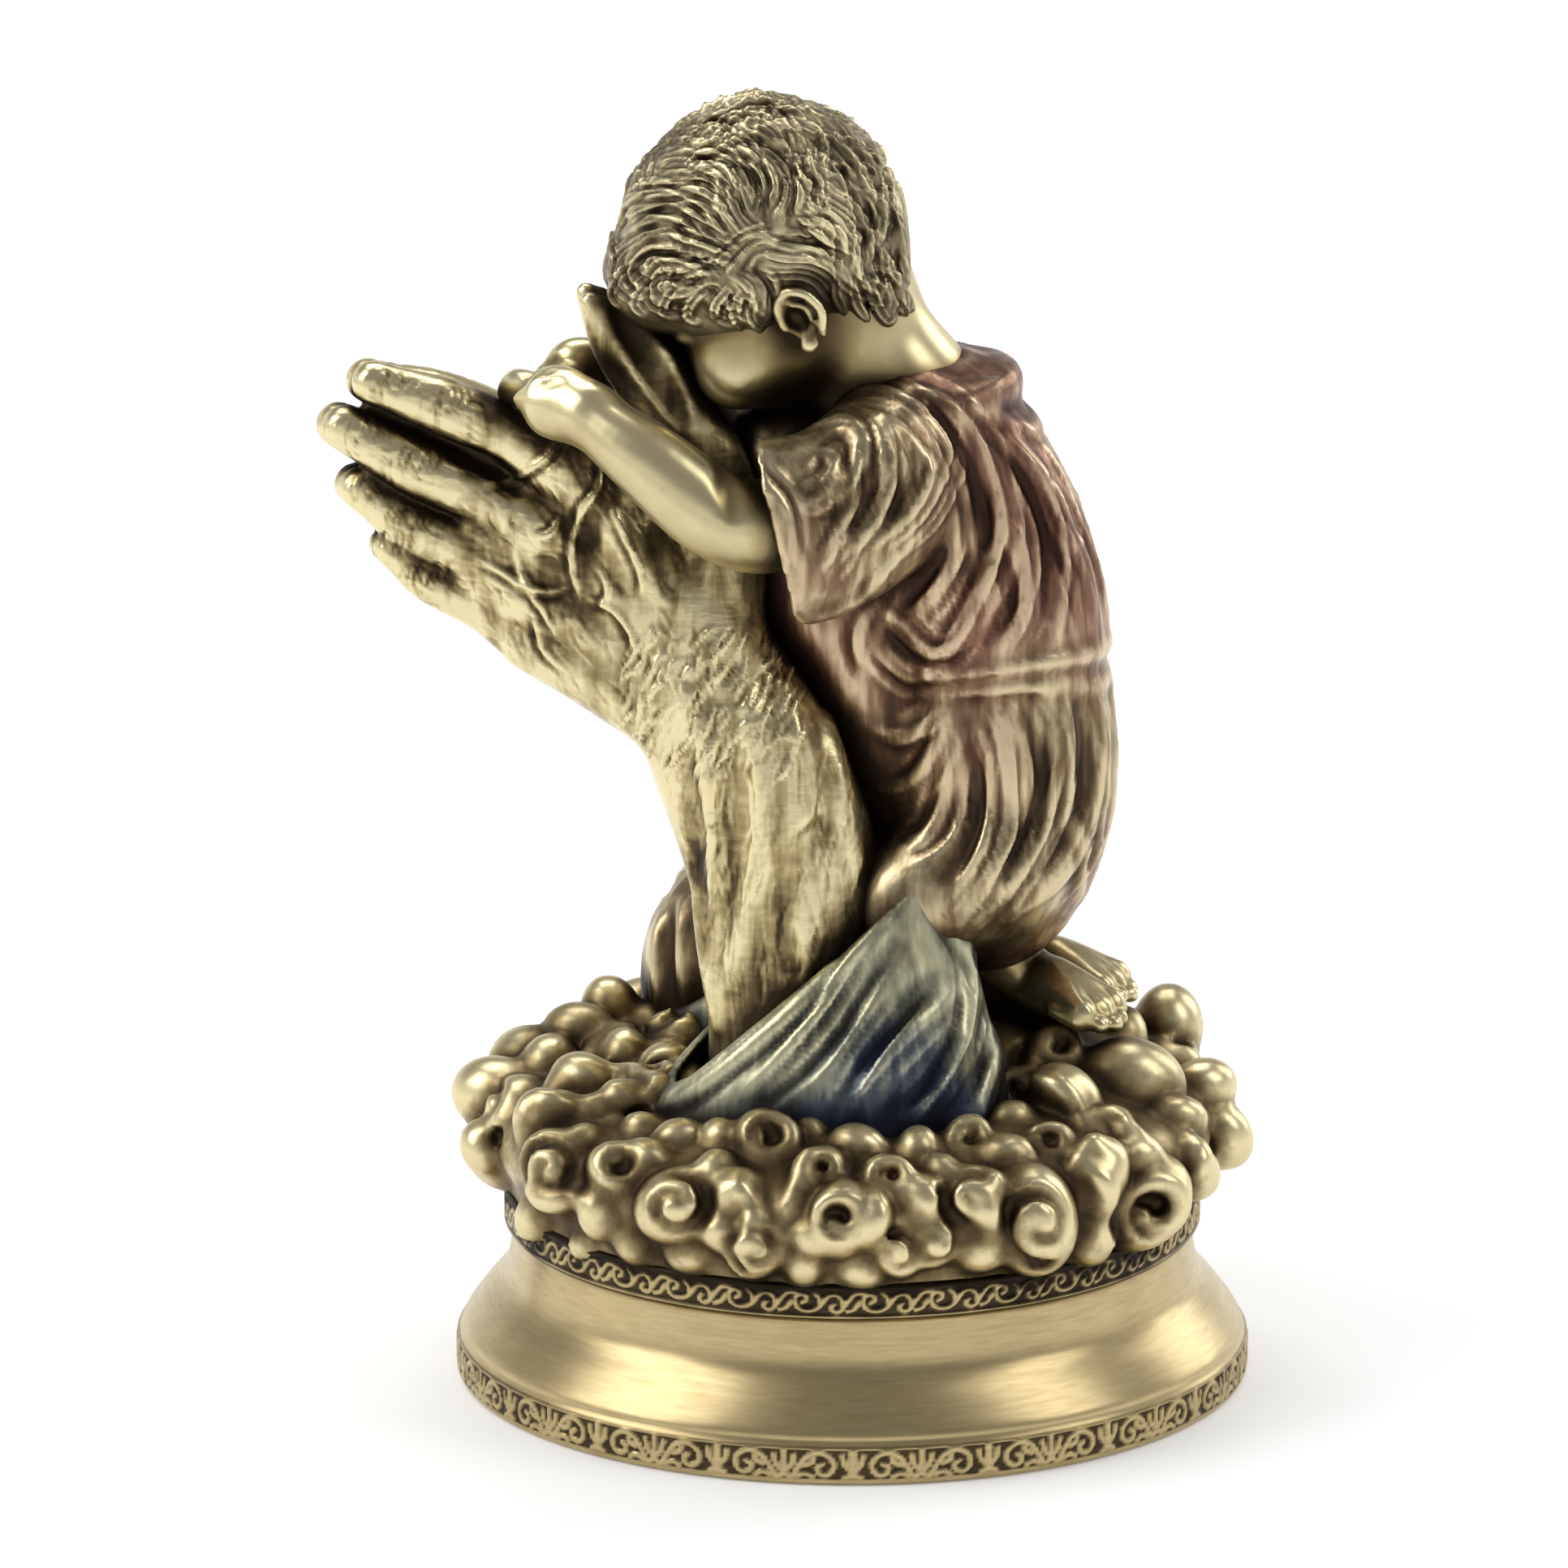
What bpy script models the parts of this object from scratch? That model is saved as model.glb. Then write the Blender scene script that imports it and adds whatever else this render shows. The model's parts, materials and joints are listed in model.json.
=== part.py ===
"""Bronze-finished statue: two large praying hands held by a kneeling child, on a bank of cloud and a turned base.

One casting, so one solid. Lengths are in millimetres until the mesh is written in metres. +Z is up, the hands
point along -X, and the side that is drawn first faces -Y. The origin is the middle of the base's underside.
"""

import math

import bmesh
import bpy
import numpy as np
import openvdb

MM = 0.001

# Turned base
BASE_HEIGHT = 28.4
BASE_RADIUS = 58.0
NECK_RADIUS = 49.4
TOP_BAND_RADIUS = 50.8
TOP_BAND_HEIGHT = 5.4
FOOT_BAND_HEIGHT = 6.2
BASE_SEGMENTS = 64

# Bank of cloud
CLOUD_RADIUS = 46.0
CLOUD_HEIGHT = 20.0

# Large hands, as a pair mirrored about the plane between the palms
HAND_SIZE = 1.0
HAND_TILT = math.radians(33.0)
FAR_DROP = 1.6
FOREARM_RADIUS = 14.6
FOREARM_FLATNESS = 0.74
FINGER_RADIUS = 4.1
THUMB_RADIUS = 5.3

# Child
HEAD_RADIUS = 21.0
HEAD_PITCH = math.radians(32.0)
TORSO_RADIUS = 17.4
ARM_RADIUS = 5.8
FAR_HAND_DROP = 3.6
FOOT_RADIUS = 4.2

# Cuff of the large sleeve
SLEEVE_RADIUS = 25.0
CUFF_WALL = 3.4

GRID_STEP = 0.9
FACES_WANTED = 10050


def at(x, y, z):
    """A point measured from the middle of the base's top face."""
    return np.array((x, y, z + BASE_HEIGHT), float)


class Clay:
    """A block of space on a grid that holds each point's distance to the sculpted surface, negative inside."""

    FAR = 30.0

    def __init__(self, low, high, step):
        self.low = np.array(low, float)
        self.step = step
        self.counts = np.ceil((np.array(high, float) - self.low) / step).astype(int) + 1
        self.field = np.full(self.counts, self.FAR, np.float32)
        self.margin = 4.0 * step + 2.0

    def window(self, low, high):
        """The grid's index range for a box, with the box's coordinates along each axis."""
        first = np.clip(np.floor((low - self.low) / self.step).astype(int), 0, self.counts)
        last = np.clip(np.ceil((high - self.low) / self.step).astype(int) + 1, 0, self.counts)
        axes = [self.low[i] + self.step * np.arange(first[i], last[i]) for i in range(3)]
        index = tuple(slice(a, b) for a, b in zip(first, last))
        return index, np.meshgrid(*axes, indexing="ij", sparse=True)

    def join(self, index, new, fillet, cut=False):
        """Adds a shape with a soft fillet, or cuts it away."""
        old = self.field[index]
        if cut:
            self.field[index] = -soft_min(-old, new, fillet)
        else:
            self.field[index] = soft_min(old, new, fillet)

    def limb(self, path, radii, fillet=1.0, flat=1.0, normal=(0, 1, 0), cut=False, within=None):
        """A tapering limb along a smooth path. Flat is its thickness along the normal, as a share of its width."""
        spots = smooth_path(np.column_stack((np.array(path, float), radii)))
        reach = spots[:, 3].max() * max(1.0, flat) + self.margin + fillet
        index, grid = self.window(spots[:, :3].min(0) - reach, spots[:, :3].max(0) + reach)
        shape = np.broadcast_shapes(*[g.shape for g in grid])
        new = np.full(shape, self.FAR, np.float32)
        corner = np.array([s.start for s in index])
        for a, b in zip(spots[:-1], spots[1:]):
            span = max(a[3], b[3]) * max(1.0, flat) + self.margin + fillet
            part, near = self.window(np.minimum(a, b)[:3] - span, np.maximum(a, b)[:3] + span)
            inner = tuple(slice(s.start - c, s.stop - c) for s, c in zip(part, corner))
            new[inner] = np.minimum(new[inner], segment_distance(near, a, b, flat, normal))
        if within is not None:
            new = np.maximum(new, within(grid))
        self.join(index, new, fillet, cut)

    def rod(self, points, radii, fillet=1.0, cut=False):
        """A rounded fold or groove through points that are close together already."""
        spots = np.column_stack((points, radii))
        reach = radii.max() + 0.8 * self.margin + fillet
        index, grid = self.window(points.min(0) - reach, points.max(0) + reach)
        new = np.full(np.broadcast_shapes(*[g.shape for g in grid]), self.FAR, np.float32)
        corner = np.array([s.start for s in index])
        for a, b in zip(spots[:-1], spots[1:]):
            part, near = self.window(np.minimum(a, b)[:3] - reach, np.maximum(a, b)[:3] + reach)
            inner = tuple(slice(s.start - c, s.stop - c) for s, c in zip(part, corner))
            new[inner] = np.minimum(new[inner], segment_distance(near, a, b, 1.0, (0, 1, 0)))
        self.join(index, new, fillet, cut)

    def ball(self, centre, radii, fillet=1.0, turn=None, cut=False):
        """An ellipsoid, turned by a 3 by 3 matrix whose columns are its own axes."""
        radii = np.broadcast_to(np.array(radii, float), 3)
        reach = radii.max() + self.margin + fillet
        index, grid = self.window(centre - reach, centre + reach)
        offset = [g - c for g, c in zip(grid, centre)]
        if turn is not None:
            offset = [sum(offset[i] * turn[i][j] for i in range(3)) for j in range(3)]
        scaled = np.sqrt(sum((o / r) ** 2 for o, r in zip(offset, radii)))
        slope = np.sqrt(sum((o / r ** 2) ** 2 for o, r in zip(offset, radii))) + 1e-6
        self.join(index, (scaled * (scaled - 1.0) / slope).astype(np.float32), fillet, cut)

    def sample(self, spots):
        """The distance at any points, by mixing the eight grid values round each."""
        place = np.clip((spots - self.low) / self.step, 0, self.counts - 1.001)
        base = place.astype(int)
        rest = place - base
        total = 0.0
        for corner in range(8):
            pick = np.array([(corner >> i) & 1 for i in range(3)])
            share = np.prod(np.where(pick == 1, rest, 1.0 - rest), -1)
            total = total + share * self.field[tuple(np.moveaxis(base + pick, -1, 0))]
        return total

    def slope(self, spots):
        """The outward direction at points near the surface."""
        reach = 1.2 * self.step
        axes = np.eye(3) * reach
        slope = np.stack([self.sample(spots + a) - self.sample(spots - a) for a in axes], -1)
        return slope / (np.linalg.norm(slope, axis=-1, keepdims=True) + 1e-9)

    def skin(self):
        """Points and four-cornered faces of the surface."""
        grid = openvdb.FloatGrid(self.FAR)
        grid.copyFromArray(self.field)
        points, quads = grid.convertToQuads(0.0)
        return points.astype(float) * self.step + self.low, quads


def soft_min(a, b, reach):
    mix = np.clip(0.5 + 0.5 * (a - b) / reach, 0.0, 1.0)
    return a + (b - a) * mix - reach * mix * (1.0 - mix)


def smooth_path(spots, spans=6):
    """Points on a curve through the given ones, whose extra columns such as radii follow the same curve."""
    if len(spots) == 2:
        return spots
    ends = np.vstack((2 * spots[0] - spots[1], spots, 2 * spots[-1] - spots[-2]))
    out = []
    for a, b, c, d in zip(ends[:-3], ends[1:-2], ends[2:-1], ends[3:]):
        for t in np.arange(spans) / spans:
            out.append(0.5 * (2 * b + (c - a) * t + (2 * a - 5 * b + 4 * c - d) * t**2
                              + (3 * b - a - 3 * c + d) * t**3))
    out.append(spots[-1])
    return np.array(out)


def segment_distance(grid, a, b, flat, normal):
    """Distance to a tapering rod between two spots, each x, y, z and radius."""
    along = b[:3] - a[:3]
    offset = [g - p for g, p in zip(grid, a[:3])]
    share = np.clip(sum(o * d for o, d in zip(offset, along)) / max(along @ along, 1e-9), 0.0, 1.0)
    offset = [o - share * d for o, d in zip(offset, along)]
    if flat != 1.0:
        lean = sum(o * n for o, n in zip(offset, normal)) * (1.0 / flat - 1.0)
        offset = [o + lean * n for o, n in zip(offset, normal)]
    return np.sqrt(sum(o * o for o in offset)) - (a[3] + share * (b[3] - a[3]))


# Large hands

WRIST = (-21.5, 78.6)
FINGERS = {
    "index": (((64.2, 10.6), (53.6, 13.4), (34.5, 15.6)), (0.82, 1.0, 1.3)),
    "middle": (((64.0, 2.6), (52.4, 3.6), (31.5, 6.0)), (0.86, 1.03, 1.35)),
    "ring": (((57.0, -3.8), (47.4, -4.2), (28.2, -3.0)), (0.82, 0.98, 1.25)),
    "little": (((48.4, -9.0), (41.0, -10.0), (24.2, -9.5)), (0.7, 0.8, 1.0)),
}
FOREARM = ((-6.5, 6.0), (-7.0, 20.0), (-7.4, 35.0), (-10.2, 52.5), (-15.6, 67.4), WRIST)
FOREARM_DEPTH = (14.0, 13.5, 12.5, 11.0, 10.2, 9.5)
FOREARM_TAPER = (1.0, 0.96, 0.95, 0.96, 0.93, 0.8)


def hand_point(along, across, depth):
    """A point on a large hand: along it from the wrist, across it towards the thumb, and out from the palms."""
    along, across = along * HAND_SIZE, across * HAND_SIZE
    if depth > 0:
        across -= FAR_DROP * max(0.0, along) / 60.0
    tilt_x, tilt_z = math.cos(HAND_TILT), math.sin(HAND_TILT)
    return at(WRIST[0] - along * tilt_x + across * tilt_z, depth, WRIST[1] + along * tilt_z + across * tilt_x)


def forearm(clay, side):
    path = [at(x, side * depth, z) for (x, z), depth in zip(FOREARM, FOREARM_DEPTH)]
    clay.limb(path, [FOREARM_RADIUS * t for t in FOREARM_TAPER], 2.0, FOREARM_FLATNESS)


def palm(clay, side):
    size = FINGER_RADIUS
    clay.limb([hand_point(0, -1, side * 7.0), hand_point(14, 0, side * 4.5), hand_point(31, 2, side * 3.8)],
              [3.0 * size, 3.3 * size, 3.2 * size], 3.0, 0.42)
    clay.limb([hand_point(-3, -5, side * 9.0), hand_point(8, -6.2, side * 7.5), hand_point(22, -7.4, side * 5.0)],
              [1.25 * size, 1.32 * size, 1.08 * size], 3.0)
    starts = {"index": 7.0, "middle": 2.5, "ring": -2.0, "little": -6.0}
    for name, across in starts.items():
        knuckle, share = FINGERS[name][0][2], FINGERS[name][1][2]
        bend = ((knuckle[0] + 3) / 2, (knuckle[1] + across) / 2)
        clay.limb([hand_point(3, across, side * 10.5), hand_point(*bend, side * 8.3),
                   hand_point(*knuckle, side * 5.8)],
                  [1.5 * size, 1.15 * size, share * size], 2.2)


def finger(clay, side, name):
    joints, shares = FINGERS[name]
    radii = [FINGER_RADIUS * share for share in shares]
    tip, middle, knuckle = joints
    half = ((middle[0] + knuckle[0]) / 2, (middle[1] + knuckle[1]) / 2 + 0.4)
    last = ((middle[0] + 2 * tip[0]) / 3, (middle[1] + 2 * tip[1]) / 3)
    path = [hand_point(*tip, side * radii[0] * 0.92), hand_point(*last, side * radii[0] * 1.0),
            hand_point(*middle, side * radii[1] * 1.02), hand_point(*half, side * radii[1] * 1.05),
            hand_point(*knuckle, side * (radii[2] + 0.6))]
    clay.limb(path, [radii[0] * 0.96, radii[0] * 1.04, radii[1] * 1.02, radii[1] * 1.06, radii[2]], 0.9)


def thumb(clay, side):
    size = THUMB_RADIUS
    path = [hand_point(4, 8, side * 9.0), hand_point(13, 24, side * 7.2), hand_point(28, 32.5, side * 5.6),
            hand_point(37, 35.8, side * 4.6), hand_point(44.6, 38.2, side * 4.2)]
    clay.limb(path, [1.45 * size, 1.2 * size, 1.1 * size, 0.92 * size, 0.3 * size], 2.2, 0.85)
    clay.limb([hand_point(8, 4, side * 8.0), hand_point(22, 16, side * 5.0)], [1.7 * size, 1.1 * size], 3.0, 0.7)


def large_hands(clay):
    for side in (-1, 1):
        forearm(clay, side)
        palm(clay, side)
        thumb(clay, side)
        for name in FINGERS:
            finger(clay, side, name)


# Sleeves of the large hands

RIM_NORMAL = np.array((-0.642, 0.0, 0.766))
RIM_POINT = (-10.0, 0.0, 35.2)


def below_rim(grid, drop=0.0):
    """Distance above the plane that the cuffs are cut to, lowered by a drop."""
    point = at(*RIM_POINT) - drop * RIM_NORMAL
    return sum((g - p) * n for g, p, n in zip(grid, point, RIM_NORMAL))


def sleeve(clay, side):
    size = SLEEVE_RADIUS
    path = [at(2.0, side * 11.0, 52.0), at(0.5, side * 13.5, 40.0), at(-1.5, side * 15.5, 27.0),
            at(-3.0, side * 18.0, 14.0), at(-3.0, side * 19.0, 2.0)]
    radii = np.array((0.5, 0.66, 0.86, 1.05, 1.1)) * size
    clay.limb(path, radii, 1.0, 0.72, within=below_rim)
    hollow = [p + np.array((-1.0, 0.0, 0.0)) for p in path]
    clay.limb(hollow, radii - CUFF_WALL, 0.8, 0.72, cut=True, within=lambda grid: -below_rim(grid, 5.0))


def sleeves(clay):
    for side in (-1, 1):
        sleeve(clay, side)


# Child

HEAD = (-13.6, 146.2)
FACE = np.array((-math.cos(HEAD_PITCH), 0.0, -math.sin(HEAD_PITCH)))
CROWN = np.array((-math.sin(HEAD_PITCH), 0.0, math.cos(HEAD_PITCH)))
SIDE = np.array((0.0, 1.0, 0.0))
HEAD_TURN = np.column_stack((FACE, SIDE, CROWN))


def head_point(forward, aside, up):
    """A point on the head, as shares of its radius from the middle of the skull."""
    return at(HEAD[0], 0.0, HEAD[1]) + HEAD_RADIUS * (forward * FACE + aside * SIDE + up * CROWN)


def head(clay):
    size = HEAD_RADIUS
    clay.ball(head_point(0.05, 0, -0.05), (0.96 * size, 0.88 * size, 0.85 * size), 1.0, HEAD_TURN)
    clay.ball(head_point(0.88, 0, 0.04), (0.28 * size, 0.62 * size, 0.33 * size), 3.0, HEAD_TURN)
    clay.limb([head_point(-0.32, 0, -0.5), head_point(-0.3, 0, -0.8)], [0.5 * size, 0.37 * size], 3.0, 1.25)
    clay.ball(head_point(0.28, 0, -0.55), (0.62 * size, 0.66 * size, 0.7 * size), 4.0, HEAD_TURN)
    clay.ball(head_point(0.4, 0, -0.98), (0.36 * size, 0.4 * size, 0.28 * size), 3.5, HEAD_TURN)
    clay.ball(head_point(0.9, 0, -0.5), (0.12 * size, 0.12 * size, 0.18 * size), 3.0, HEAD_TURN)
    for side in (-1, 1):
        clay.ball(head_point(0.62, side * 0.38, -0.72), 0.31 * size, 3.0)
        clay.ball(head_point(1.0, side * 0.36, -0.3), (0.2 * size, 0.24 * size, 0.13 * size), 1.6, HEAD_TURN, cut=True)
        clay.ball(head_point(0.86, side * 0.36, -0.32), (0.13 * size, 0.17 * size, 0.12 * size), 0.6, HEAD_TURN)
        ear(clay, side)
    clay.limb([head_point(-0.3, 0, -0.45), at(1.5, 0, 128.0), at(7.0, 0, 118.0)], [0.5 * size, 0.5 * size, 0.58 * size], 3.0)


def ear(clay, side):
    size = HEAD_RADIUS
    clay.ball(head_point(0.0, side * 0.75, -0.57), (0.15 * size, 0.1 * size, 0.2 * size), 0.8, HEAD_TURN)
    ring = [head_point(0.15 * math.cos(a), side * (0.83 - 0.04 * math.cos(a)), -0.57 + 0.2 * math.sin(a))
            for a in np.radians((-115, -170, -220, -270, -320, -370))]
    clay.limb(ring, [0.05 * size, 0.042 * size, 0.04 * size, 0.042 * size, 0.04 * size, 0.03 * size], 0.4)
    clay.ball(head_point(0.02, side * 0.88, -0.57), (0.1 * size, 0.08 * size, 0.14 * size), 0.4, HEAD_TURN, cut=True)


TORSO = ((10.5, 116.0), (13.2, 107.0), (17.3, 96.0), (20.0, 85.0), (20.6, 78.5), (20.8, 69.0), (20.6, 58.0),
         (20.0, 48.0), (18.8, 41.0), (17.5, 37.5))
TORSO_TAPER = (0.62, 0.9, 0.96, 0.98, 0.92, 0.99, 0.96, 0.81, 0.5, 0.26)


def torso(clay):
    clay.limb([at(x, 0, z) for x, z in TORSO], [TORSO_RADIUS * t for t in TORSO_TAPER], 2.0, 1.02)
    collar = [at(12.0 + 10.5 * math.cos(a), 12.5 * math.sin(a), 121.0 + 2.0 * math.cos(a))
              for a in np.radians((-110, -75, -40, 0, 40, 75, 110))]
    clay.limb(collar, [0.1 * TORSO_RADIUS] * 7, 1.4)
    clay.ball(at(14.0, 0, 121.5), (10.4, 12.0, 3.4), 2.0)
    clay.limb([at(16.5, 0, 118.5), at(15.5, 0, 108.0)], [7.2, 12.6], 3.0)
    clay.limb([at(-10, 0, 112), at(-7, 0, 102)], [8.0, 9.0], 4.0)
    for side in (-1, 1):
        clay.limb([at(8.0, side * 6.0, 114.0), at(3.6, side * 15.0, 113.0)],
                  [0.7 * TORSO_RADIUS, 0.62 * TORSO_RADIUS], 4.0)
    clay.limb([at(19.2, 12, 52), at(2, 19, 44), at(-18, 22.5, 31), at(-20.5, 22.5, 17), at(-20, 22, 8)],
              [13.0, 12.5, 11.0, 10.2, 10.0], 3.0)
    clay.limb([at(19.2, -9, 52), at(9, -11, 46)], [12.3, 10.5], 3.0)
    clay.limb([at(-2, 0, 107), at(0, 0, 92), at(3, 0, 78), at(6, 0, 62)], [10.0, 11.0, 10.0, 9.0], 4.0)
    clay.limb([at(-4, 0, 104), at(-7, 0, 92), at(0, 0, 80)], [8.0, 9.0, 9.0], 4.0)
    clay.limb([at(-12, 18, 16), at(14, 14, 22), at(22, 9, 30)], [9.0, 9.0, 6.0], 3.0)


def cuff_side(grid):
    """Distance beyond the open end of a child's sleeve."""
    point, out = at(-11.0, 0, 105.7), np.array((-0.973, 0.0, -0.23))
    return sum((g - p) * n for g, p, n in zip(grid, point, out))


def child_sleeve(clay, side):
    path = [at(7, side * 11, 110.5), at(0, side * 17.5, 108.0), at(-7, side * 21.5, 106.0), at(-20, side * 24.5, 105.0)]
    radii = TORSO_RADIUS * np.array((0.7, 0.76, 0.8, 0.84))
    clay.limb(path, radii, 2.0, 0.62, within=cuff_side)
    clay.limb(path[1:], radii[1:] - 1.9, 0.8, 0.56, cut=True, within=lambda grid: -3.5 - cuff_side(grid))


def arm(clay, side):
    size = ARM_RADIUS
    drop = FAR_HAND_DROP if side > 0 else 0.0

    def spot(x, y, z):
        return at(x + 0.8 * drop, side * y, z - drop)

    clay.limb([at(3, side * 17, 113), at(-10, side * 22.5, 107), at(-19.2, side * 24.0, 108.3),
               at(-29.7, side * 21.5, 116.0 - 0.6 * drop), spot(-38.6, 17.0, 121.8)],
              [1.2 * size, 1.2 * size, 1.14 * size, 0.98 * size, 0.72 * size], 1.2)
    clay.limb([spot(-38.0, 17.0, 121.6), spot(-42.5, 13.5, 122.4)], [0.86 * size, 0.98 * size], 1.5, 0.72)
    for spread in range(4):
        lean = spread * 1.5
        clay.limb([spot(-40.5 - 1.2 * lean, 13.5 - lean, 122.6), spot(-44.0 - lean, 10.0 - lean, 123.0),
                   spot(-46.8 - 0.7 * lean, 7.6 - 0.8 * lean, 121.2)],
                  [0.42 * size, 0.4 * size, 0.33 * size], 0.4)
    clay.limb([spot(-40.0, 16.5, 121.0), spot(-45.2, 14.0, 122.8), spot(-47.8, 12.4, 122.6)],
              [0.4 * size, 0.36 * size, 0.28 * size], 0.6)


def foot(clay, heel, toes):
    """A foot stretched back on the cloud, from its heel to the middle of its row of toes."""
    heel, toes = np.array(heel, float), np.array(toes, float)
    run = toes - heel
    row = np.cross(run, (0, 0, 1))
    row /= np.linalg.norm(row)
    size = FOOT_RADIUS
    shin = heel + np.array((-7.0, -1.0, 7.0))
    clay.limb([at(*shin), at(*heel), at(*(heel + 0.45 * run)), at(*(heel + 0.8 * run))],
              [1.25 * size, 1.1 * size, 0.95 * size, 0.62 * size], 1.2)
    clay.limb([at(*(heel + 0.3 * run - row)), at(*(heel + 0.78 * run - 3.6 * row))], [size, 0.62 * size], 1.5, 0.7, row)
    clay.limb([at(*(heel + 0.3 * run + row)), at(*(heel + 0.78 * run + 3.6 * row))], [size, 0.62 * size], 1.5, 0.7, row)
    for place in range(5):
        spot = toes + (place - 2) * 2.3 * row + np.array((0.0, 0.0, -0.6)) - 0.05 * (place - 2) ** 2 * run
        clay.limb([at(*(spot - 0.25 * run)), at(*spot)], [0.3 * size, (0.32 + 0.1 * (place == 0)) * size], 0.5)


def child(clay):
    torso(clay)
    for side in (-1, 1):
        child_sleeve(clay, side)
        arm(clay, side)
    head(clay)
    foot(clay, (25.2, 2.5, 30.8), (38.2, -8.0, 27.0))
    foot(clay, (25.0, 14.0, 29.8), (40.6, 8.6, 26.4))


# Cloud

PUFFS = (
    (610, 1345, 50), (596, 1408, 30), (680, 1378, 42), (690, 1440, 50), (665, 1495, 34), (765, 1435, 38),
    (740, 1490, 32), (838, 1480, 50), (948, 1405, 44), (935, 1530, 40), (892, 1512, 30), (1035, 1495, 42),
    (1195, 1470, 44), (1104, 1536, 32), (1152, 1526, 32), (1096, 1448, 34), (1190, 1402, 34), (1240, 1420, 34),
    (1270, 1498, 60), (1288, 1408, 34), (1312, 1352, 44), (1350, 1440, 42), (1392, 1330, 60), (1440, 1262, 46),
    (1482, 1338, 40), (1506, 1394, 40), (1410, 1480, 56), (1462, 1440, 40), (675, 1312, 40), (712, 1268, 40),
    (752, 1250, 40), (1360, 1388, 34), (800, 1425, 30), (1010, 1440, 34), (1060, 1560, 26), (990, 1550, 28),
    (1210, 1532, 34), (1335, 1520, 36), (1300, 1290, 34), (720, 1330, 40), (770, 1300, 34), (850, 1540, 28),
    (780, 1525, 28), (722, 1528, 22), (1140, 1470, 30), (880, 1440, 30), (1450, 1375, 34), (1380, 1272, 34),
    (835, 1398, 30), (892, 1398, 28), (1003, 1394, 30), (1056, 1408, 34), (1130, 1412, 30), (1244, 1374, 28),
    (1162, 1440, 26), (905, 1462, 30), (1000, 1520, 26), (1075, 1500, 30), (1395, 1420, 34),
)


def far_puffs():
    """Puffs for the side the photograph doesn't show: angle round the base, reach, height and radius."""
    places = []
    for turn in range(17):
        places.append((-2 + 11.5 * turn, 50.0, 5.5 + 2.0 * (turn % 2), 4.6 + 1.0 * ((turn * 5) % 3)))
        places.append((3 + 11.5 * turn, 48.6, 10.4 + 1.2 * (turn % 3), 4.4 + 1.1 * ((turn * 7) % 3)))
        places.append((1 + 11.5 * turn, 38.4, 13.6 + 1.2 * (turn % 2), 4.8 + 1.1 * ((turn * 4) % 3)))
    return places


def top_puffs():
    """Puffs over the top of the cloud, round the feet and the drape: angle, reach, height and radius."""
    places = []
    for turn in [t for t in range(24) if not 14 < t < 22]:
        places.append((15 * turn + 4 * (turn % 2), 34.5, 14.2 + (turn % 3), 4.6 + 0.8 * ((turn * 5) % 3)))
        if turn > 4:
            places.append((15 * turn - 5, 27.5, 16.6 + 0.8 * (turn % 2), 4.0 + 0.8 * ((turn * 7) % 3)))
    return places


def cloud(clay):
    clay.ball(at(0, 0, -2.0), (CLOUD_RADIUS + 4.0, CLOUD_RADIUS + 4.0, CLOUD_HEIGHT), 3.0)
    clay.ball(at(22, 3, 5), (26, 30, 20), 5.0)
    for reach, height, radius in ((46.0, 8.5, 6.8), (38.0, 9.0, 9.0), (27.0, 8.0, 10.6)):
        ring = [at(reach * math.cos(a), reach * math.sin(a), height) for a in np.linspace(0, 2 * math.pi, 33)]
        clay.limb(ring, [radius] * len(ring), 4.0)
    for count, (angle, reach, height, radius) in enumerate(far_puffs() + top_puffs()):
        turn = math.radians(angle)
        centre = at(reach * math.cos(turn), reach * math.sin(turn), height)
        clay.ball(centre, 1.08 * radius, 1.5)
        way = np.array((math.cos(turn), math.sin(turn), 0.35 if reach > 45 else 1.2))
        if count % 3 == 0:
            curl(clay, centre, way / np.linalg.norm(way), radius, 1.5, count)
    hits, out, met = traced(clay, "near", np.array([puff[:2] for puff in PUFFS], float))
    toward = np.array((0.0, -0.956, 0.292))
    centres = hits - 0.6 * out - 0.22 * np.outer([puff[2] / PIXEL for puff in PUFFS] * (out @ toward), toward)
    for (_, _, size), centre in zip(PUFFS, centres):
        clay.ball(centre, 1.06 * size / PIXEL, 1.5)
    for count, ((_, _, size), centre, way) in enumerate(zip(PUFFS, centres, out)):
        if size >= 38 and count:
            way = way + 1.5 * toward
            curl(clay, centre, way / np.linalg.norm(way), size / PIXEL, 1.6, 2.0 * count)


# Folds, locks and curls, drawn over the photograph

PIXEL = 8.42
RISE, SLIDE = 8.05, 2.46
MIDDLE = (1050.0, 1453.0)


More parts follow.
